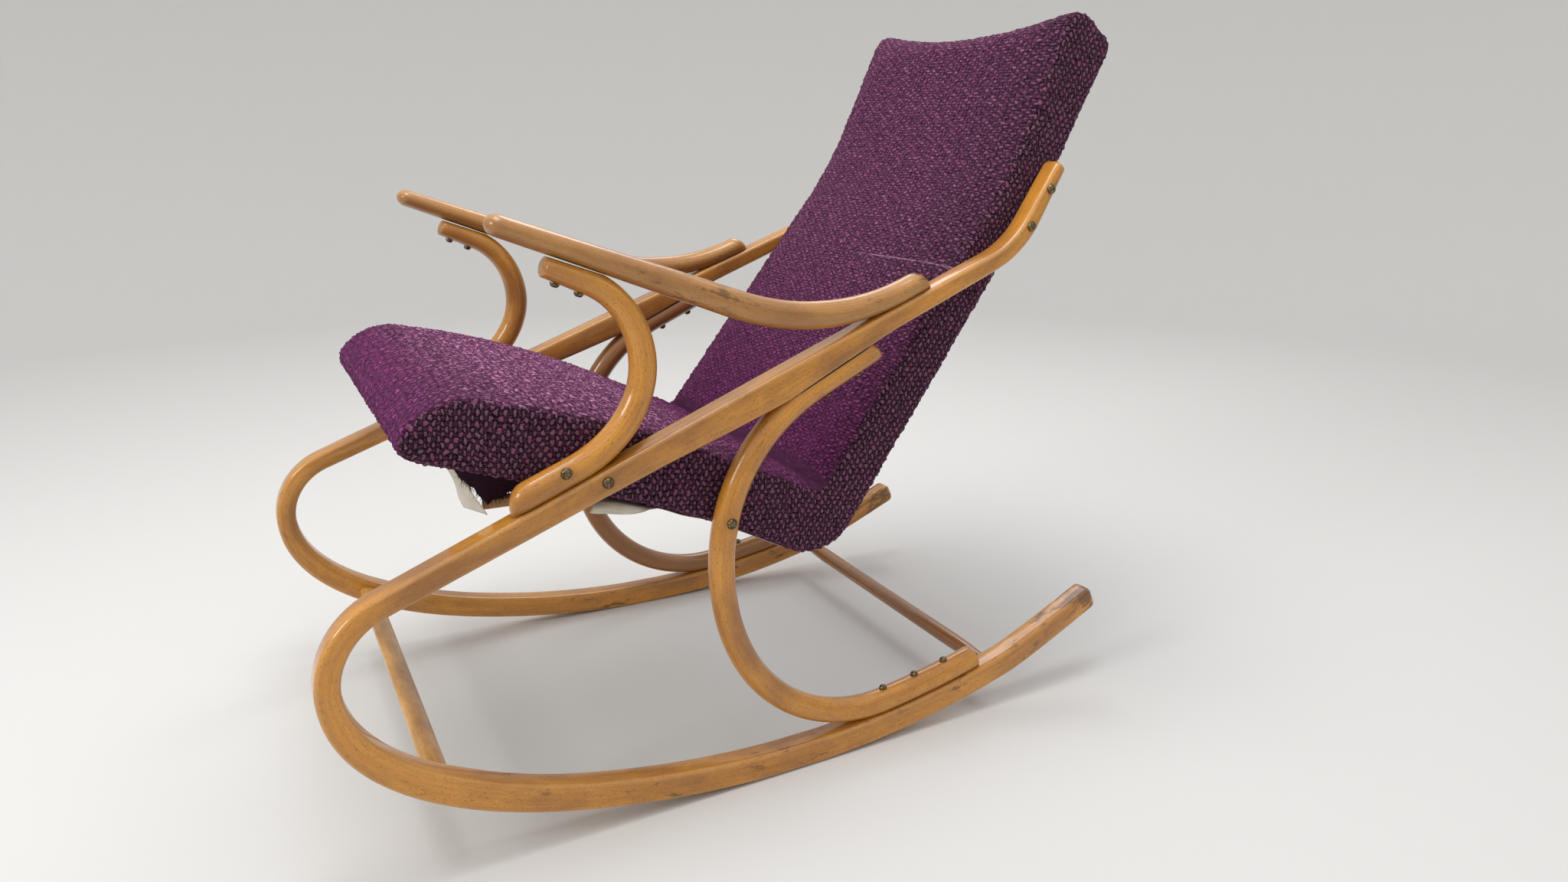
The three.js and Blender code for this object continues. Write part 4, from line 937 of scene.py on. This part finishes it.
dyed = blend(weave, pinker, stranded, (0.42, 0.09, 0.25, 1))
fleck = blend(weave, fade(weave, fuzz, 0.52, 0.7, 0, 0.45), dyed, into["Raised"])
# Low places between the bundles take the hollow-shade colour: painted shade
weave.links.new(blend(weave, fade(weave, height, 0.2, 0.85), into["Hollow_shade"], fleck), out["Colour"])

sheen = {"Sheen_Weight": 0.22, "Sheen_Roughness": 0.4, "Sheen_Tint": (0.8, 0.3, 0.62, 1)}
woven_cloth, tree, shader = new_look("woven_cloth", Roughness=0.9, Specular_IOR_Level=0.15, **sheen)
run = attribute(tree, "weave_run", "Vector")
spot = object_place(tree)
side_run = add_node(tree, "Mapping", {"Vector": spot, "Rotation": (turned_run, 0, 0)}).outputs[0]
flat = split(tree, side_run)
side_flat = add_node(tree, "CombineXYZ", {0: flat[1], 1: flat[2]}).outputs[0]
sideways = maths(tree, "ABSOLUTE", split(tree, add_node(tree, "NewGeometry").outputs["Normal"])[0])
on_side = fade(tree, sideways, 0.66, 0.74)
place = split(tree, spot)

# Faces that turn sideways, and the back's upper left part, take the flanks' darker colours: partly the dark
# yarn that shows more there, partly painted shade. The crease and the nose take a darker, stronger purple
# as painted shade, and a pale patch on the seat is a painted sheen.
upper_left_back = times(tree, fade(tree, place[0], 0.06, 0.25, 0, 0.7), fade(tree, place[2], 0.5, 0.62))
# Sideways faces and the back's upper left part move to the flank colours, partly painted shade
flank_and_shade_share = maths(tree, "MAXIMUM", fade(tree, sideways, 0.1, 0.8), upper_left_back)
# The crease and the nose take a darker, stronger purple: painted shade
in_crease = times(tree, fade(tree, place[2], 0.42, 0.62, 1, 0), fade(tree, place[1], -0.1, 0.03))
crease_and_nose_shade = maths(tree, "MAXIMUM", in_crease, fade(tree, place[1], -0.4, -0.35, 1, 0))
on_back = fade(tree, place[1], 0.066, 0.086)
# A paler patch on the seat top is a painted sheen
seat_sheen = times(tree, fade(tree, place[1], -0.37, -0.3), fade(tree, place[1], -0.02, -0.1))
seat_sheen = times(tree, seat_sheen, fade(tree, place[2], 0.4, 0.43))
cloth_colours = []
# Rows: raised, sunk and hollow-shade colours; columns: plain, crease-and-nose shade, painted seat sheen,
# flank colours that are partly painted shade
for plain, shade_purple, sheen_colour, flank_and_shade in (
    ((0.52, 0.18, 0.37, 1), (0.38, 0.055, 0.28, 1), (0.76, 0.34, 0.58, 1), (0.3, 0.14, 0.22, 1)),
    ((0.26, 0.06, 0.17, 1), (0.2, 0.018, 0.14, 1), (0.4, 0.12, 0.28, 1), (0.06, 0.01, 0.04, 1)),
    ((0.022, 0.002, 0.014, 1), (0.04, 0.003, 0.028, 1), (0.05, 0.006, 0.035, 1), (0.006, 0.001, 0.004, 1)),
):
    lit = blend(tree, crease_and_nose_shade, plain, shade_purple)
    lit = blend(tree, seat_sheen, lit, sheen_colour)
    cloth_colours.append(blend(tree, flank_and_shade_share, lit, flank_and_shade))
run_xy = split(tree, run)
seat_run = stretched(tree, run, 4.7 / 6.5, 6.3 / 9, 0)
inputs = {0: times(tree, run_xy[1], 4.7 / 4.3), 1: times(tree, run_xy[0], 6.3 / 8.2)}
back_run = add_node(tree, "CombineXYZ", inputs).outputs[0]
top_run = add_node(tree, "Mix", {0: on_back, 4: seat_run, 5: back_run}, data_type="VECTOR").outputs[1]

# Painted shade darkens the hollows between the knobs, and painted shadows make short ripples from side to
# side
seat_ripple = noise(tree, stretched(tree, run, 1, 1.1, 0), 80, 3, 0.6)
back_ripple = noise(tree, stretched(tree, run, 1, 4.2, 0), 55, 3, 0.6)
ripple = mix_values(tree, on_back, seat_ripple, back_ripple)
knob_shade = fade(tree, attribute(tree, "knob"), 0.42, 0.05)
ripple_shade_share = times(tree, fade(tree, ripple, 0.56, 0.42), fade(tree, sideways, 0.1, 0.5, 0.75, 0.3))
ripple_shade_share = maths(tree, "MAXIMUM", ripple_shade_share, times(tree, knob_shade, 0.8))
colours, heights = [], []
for cloth in (top_run, side_flat):
    inputs = {"Cloth": cloth, **dict(zip(("Raised", "Sunk", "Hollow_shade"), cloth_colours))}
    made = add_node(tree, "Group", inputs, node_tree=weave).outputs
    colours.append(made["Colour"])
    heights.append(made["Height"])
# The ripples and the knob hollows are painted shade in the deepest colour
colours[0] = blend(tree, ripple_shade_share, colours[0], cloth_colours[2])
heights[0] = maths(tree, "ADD", heights[0], times(tree, ripple, 2.2))
tint = blend(tree, on_side, *colours)

# One pale thread is pulled straight across the lower back
inputs = {0: spot, 1: (0, *back_line)}
up_back = add_node(tree, "VectorMath", inputs, operation="DOT_PRODUCT").outputs["Value"]
thread_start = 0.3297 + float(crease_place @ back_line)
level = maths(tree, "SUBTRACT", up_back, thread_start)
level = maths(tree, "SUBTRACT", level, times(tree, place[0], 0.034))
thread = fade(tree, maths(tree, "ABSOLUTE", level), 0.0004, 0.0011, 0.65, 0)
broken = fade(tree, noise(tree, spot, 90, 2), 0.4, 0.55, 0.35, 1)
for share in (fade(tree, place[0], 0.01, 0.05), fade(tree, place[1], 0.3, 0.29), broken):
    thread = times(tree, thread, share)
tint = blend(tree, thread, tint, (0.55, 0.36, 0.46, 1))
rise = mix_values(tree, on_side, *heights)
link_look(tree, shader, tint, rise, 1.0, 0.0026)
declare(cover, woven_cloth, "fabric", "upholstery_cover")

# Lining
# A thin pale cloth was tacked under the seat. Its front has torn, and a tongue and a strip hang down.
# The torn edges have frayed into loose threads.
pale_lining, tree, shader = new_look("pale_lining", Roughness=0.85, Specular_IOR_Level=0.2)
spot = object_place(tree)
cloth = times(tree, bands(tree, spot, 380, 0.6, "X"), bands(tree, spot, 380, 0.6, "Y"))
stains = noise(tree, spot, 14, 5, 0.6)
tint = blend(tree, fade(tree, stains, 0.45, 0.7, 0, 0.7), (0.8, 0.77, 0.69, 1), (0.55, 0.47, 0.34, 1))
tint = blend(tree, fade(tree, cloth, 0, 1, 0.25, 0), tint, (0.3, 0.27, 0.22, 1))
link_look(tree, shader, tint, cloth, 0.4, 0.0003)


def seat_underside(reach):
    """The rise of the shell's underside at a reach."""
    bend_reach, bend_rise, _ = shell_corners[9]
    behind = reach - bend_reach
    slope = np.where(behind < 0, -0.3437, -0.5714)
    return bend_rise + slope * behind - 5.4 * np.clip(1 - np.abs(behind) / 110, 0, 1) ** 2


def show_cloth(name, across, reach, rise, thickness, look, slot, *nodes):
    """A thick sheet of cloth through a grid of places."""
    places = np.stack([across, reach + row_shift, rise], axis=-1)
    rows, columns, _ = places.shape
    cloth = bmesh.new()
    bmesh.ops.create_grid(cloth, x_segments=columns - 1, y_segments=rows - 1, size=1)
    cloth.verts.ensure_lookup_table()
    for vert, place in zip(cloth.verts, places.reshape(-1, 3)):
        vert.co = place * mm
    bmesh.ops.recalc_face_normals(cloth, faces=cloth.faces)
    for face in cloth.faces:
        face.smooth = True
    piece = show_piece(name, cloth, look, slot, *nodes)
    wall = piece.modifiers.new("thickness", "SOLIDIFY")
    wall.thickness = thickness
    wall.offset = 0
    bake_modifiers(piece)
    return piece


lining_wall = 0.0007
chances = np.random.default_rng(7)
side_share, length_share = np.meshgrid(np.linspace(-1, 1, 91), np.linspace(0, 1, 61))
tear = np.interp(side_share, np.linspace(-1, 1, 9), [5, 23, 12, 41, 25, 46, 18, 24, 6])
ragged = 1.6 * np.sin(side_share * 61) + 1.3 * np.sin(side_share * 97 + 1) + chances.uniform(-1, 1, 91)
tongue = 86 * np.clip(1 - np.abs((side_share - 0.8) / 0.17) ** 2.6, 0, 1)
front = -262 + tear + ragged - tongue
reach = -6 + (front + 6) * length_share
ahead = np.clip((-236 - reach) / 100, 0, 1)
loose_edge = np.clip((side_share - 0.82) / 0.18, 0, 1) * np.clip(1 - np.abs((reach + 232) / 62) ** 2, 0, 1)
sag = 8 * (1 - side_share**2) * np.sin(np.pi * np.clip(length_share * 0.9, 0, 1))
creases = 1.1 * np.sin(side_share * 9 + reach * 0.05) + 0.8 * np.sin(reach * 0.11 + side_share * 4)
creases = (creases + 1.9) * np.clip(length_share * 2, 0, 1) * 0.8
drop = 0.7 + sag + 46 * ahead**1.4 + 5 * loose_edge + creases
reach = reach + 22 * ahead**1.5
rise = seat_underside(reach) - drop
across = side_share * (shell_half(reach, rise) - 14 + 20 * loose_edge)
turned_down = np.clip(across - (shell_half(reach, rise) - 6), 0, None)
across, rise = across - 0.85 * turned_down, rise - turned_down
lining = show_cloth("seat_lining", across, reach, rise, lining_wall, pale_lining, "lining", "dust_cover")

strip_side, strip_length = np.meshgrid(np.linspace(-1, 1, 9), np.linspace(0, 1, 25))
widening = 0.66 + 0.4 * strip_length
across = 236 + 16 * strip_side * widening + 2 * np.sin(strip_length * 5)
reach = -399 + 8 * strip_side * widening + 21 * strip_length + 1.2 * np.sin(strip_length * 7 + strip_side)
rise = seat_underside(reach) - 1.5 - 48 * strip_length + 2.5 * strip_side * strip_length
strip = show_cloth("hanging_strip", across, reach, rise, lining_wall, pale_lining, "lining", "torn_lining")

# A near-black cloth for a torn inner flap and its threads; the flap also stands for the shade in the hollow
# under the cover's edge
black_cloth_and_shade, tree, shader = new_look("black_cloth_and_shade", Roughness=0.95, Specular_IOR_Level=0.1)
spot = object_place(tree)
nap = noise(tree, spot, 520, 4)
tint = blend(tree, nap, (0.004, 0.002, 0.004, 1), (0.035, 0.012, 0.026, 1))
link_look(tree, shader, tint, nap, 0.8, 0.0012)
# The flap is torn black cloth, and where it reaches over the dark hollow it is painted shade
hem_side, hem_length = np.meshgrid(np.linspace(0, 1, 33), np.linspace(0, 1, 17))
hem_reach = -401 + 75 * hem_side + 4 * hem_length
hang = np.interp(hem_side, [0, 0.22, 0.42, 0.55, 0.72, 1], [6, 22, 36, 26, 18, 17])
hang = hang + 1.6 * np.sin(hem_side * 23) + 1.2 * np.sin(hem_side * 51)
rise = seat_underside(hem_reach) + 2 - hang * hem_length
across = shell_half(hem_reach, rise) - 9 - 9 * hem_length + 1.5 * np.sin(hem_side * 9) * hem_length
hem = show_cloth("loose_hem_and_shade", across, hem_reach, rise, 0.0016, black_cloth_and_shade, "fabric")

# Threads hang from the flap's torn edge
threads = bmesh.new()
edge = np.stack([across, hem_reach + row_shift, rise], axis=-1)[-1]
runs = np.concatenate([[0], np.cumsum(np.linalg.norm(np.diff(edge, axis=0), axis=1))])
for _ in range(90):
    run = chances.uniform(0, runs[-1])
    root = Vector([float(np.interp(run, runs, edge[:, axis])) for axis in range(3)]) * mm
    length = chances.uniform(4, 11) * mm
    lean = Vector(chances.uniform(-0.55, 0.55, 3).tolist()) + Vector((0, 0, -1))
    placing = Matrix.Translation(root + lean.normalized() * length * 0.46) @ turn_to(lean)
    bmesh.ops.create_cone(
        threads, cap_ends=True, segments=4, radius1=0.00028, radius2=0.00012, depth=length, matrix=placing
    )
fray = show_piece("hem_fray", threads, black_cloth_and_shade, "fabric")

# Tacking strip
# The thin softwood strip that held the lining at the front corner has come loose and hangs in the tear.
# It is sawn, with its edges taken off.
batten_size = Vector((9, 66, 12)) * mm
batten = bmesh.new()
bmesh.ops.create_cube(batten, size=1)
bmesh.ops.scale(batten, vec=batten_size, verts=batten.verts)
bevel(batten, batten.edges[:], 0.8 * mm, 2)
batten_place = Vector((234 * mm, (-336 + row_shift) * mm, 405 * mm))
batten_turn = Matrix.Rotation(radians(-1), 4, "X") @ Matrix.Rotation(radians(20), 4, "Y")
bmesh.ops.transform(batten, matrix=Matrix.Translation(batten_place) @ batten_turn, verts=batten.verts)
shade_smooth(batten)
show_piece("tacking_strip", batten, frame_wood, "inner_wood")

# Floor, backdrop and lamps
# A plain pale room whose floor sweeps up into its wall all round, with broad soft lamps overhead.
room, _, _ = new_look("room", Base_Color=(0.7, 0.695, 0.685, 1), Roughness=0.9, Specular_IOR_Level=0.1)
bowl = bmesh.new()
floor_radius, sweep_radius, wall_top = 3.6, 1.6, 3.4
sweep = [(0, 0), (2, 0), (floor_radius, 0)]
for angle in np.radians(np.linspace(7.5, 90, 12)):
    sweep.append((floor_radius + sweep_radius * sin(angle), sweep_radius * (1 - cos(angle))))
sweep.append((floor_radius + sweep_radius, wall_top))
spin_profile(bowl, sweep, 72, 0.0001)
for face in bowl.faces:
    face.smooth = True
    if face.normal.z < 0 or face.normal.xy.dot(face.calc_center_median().xy) > 0:
        face.normal_flip()
backdrop = mesh_object("room", bowl)
set_look(backdrop, room)

world = bpy.data.worlds.new("studio")
world.use_nodes = True
scene.world = world
background = world.node_tree.nodes["Background"]
background.inputs["Strength"].default_value = 0.9
background.inputs["Color"].default_value = (1, 0.995, 0.985, 1)

for name, place, size, power in (
    ("overhead", (0.1, -0.2, 2.7), 1.3, 29),
    ("rear", (-1.6, 1.2, 2.5), 1.0, 10),
    ("window", (0.7, -2.9, 2.0), 0.9, 26),
):
    lamp = bpy.data.lights.new(name, "AREA")
    lamp.shape = "SQUARE"
    lamp.size = size
    lamp.energy = power
    stand = new_object(name, lamp)
    stand.location = place
    stand.rotation_euler = (Vector((0, 0, 0.4)) - Vector(place)).to_track_quat("-Z", "Y").to_euler()

scene.view_settings.view_transform = "Standard"
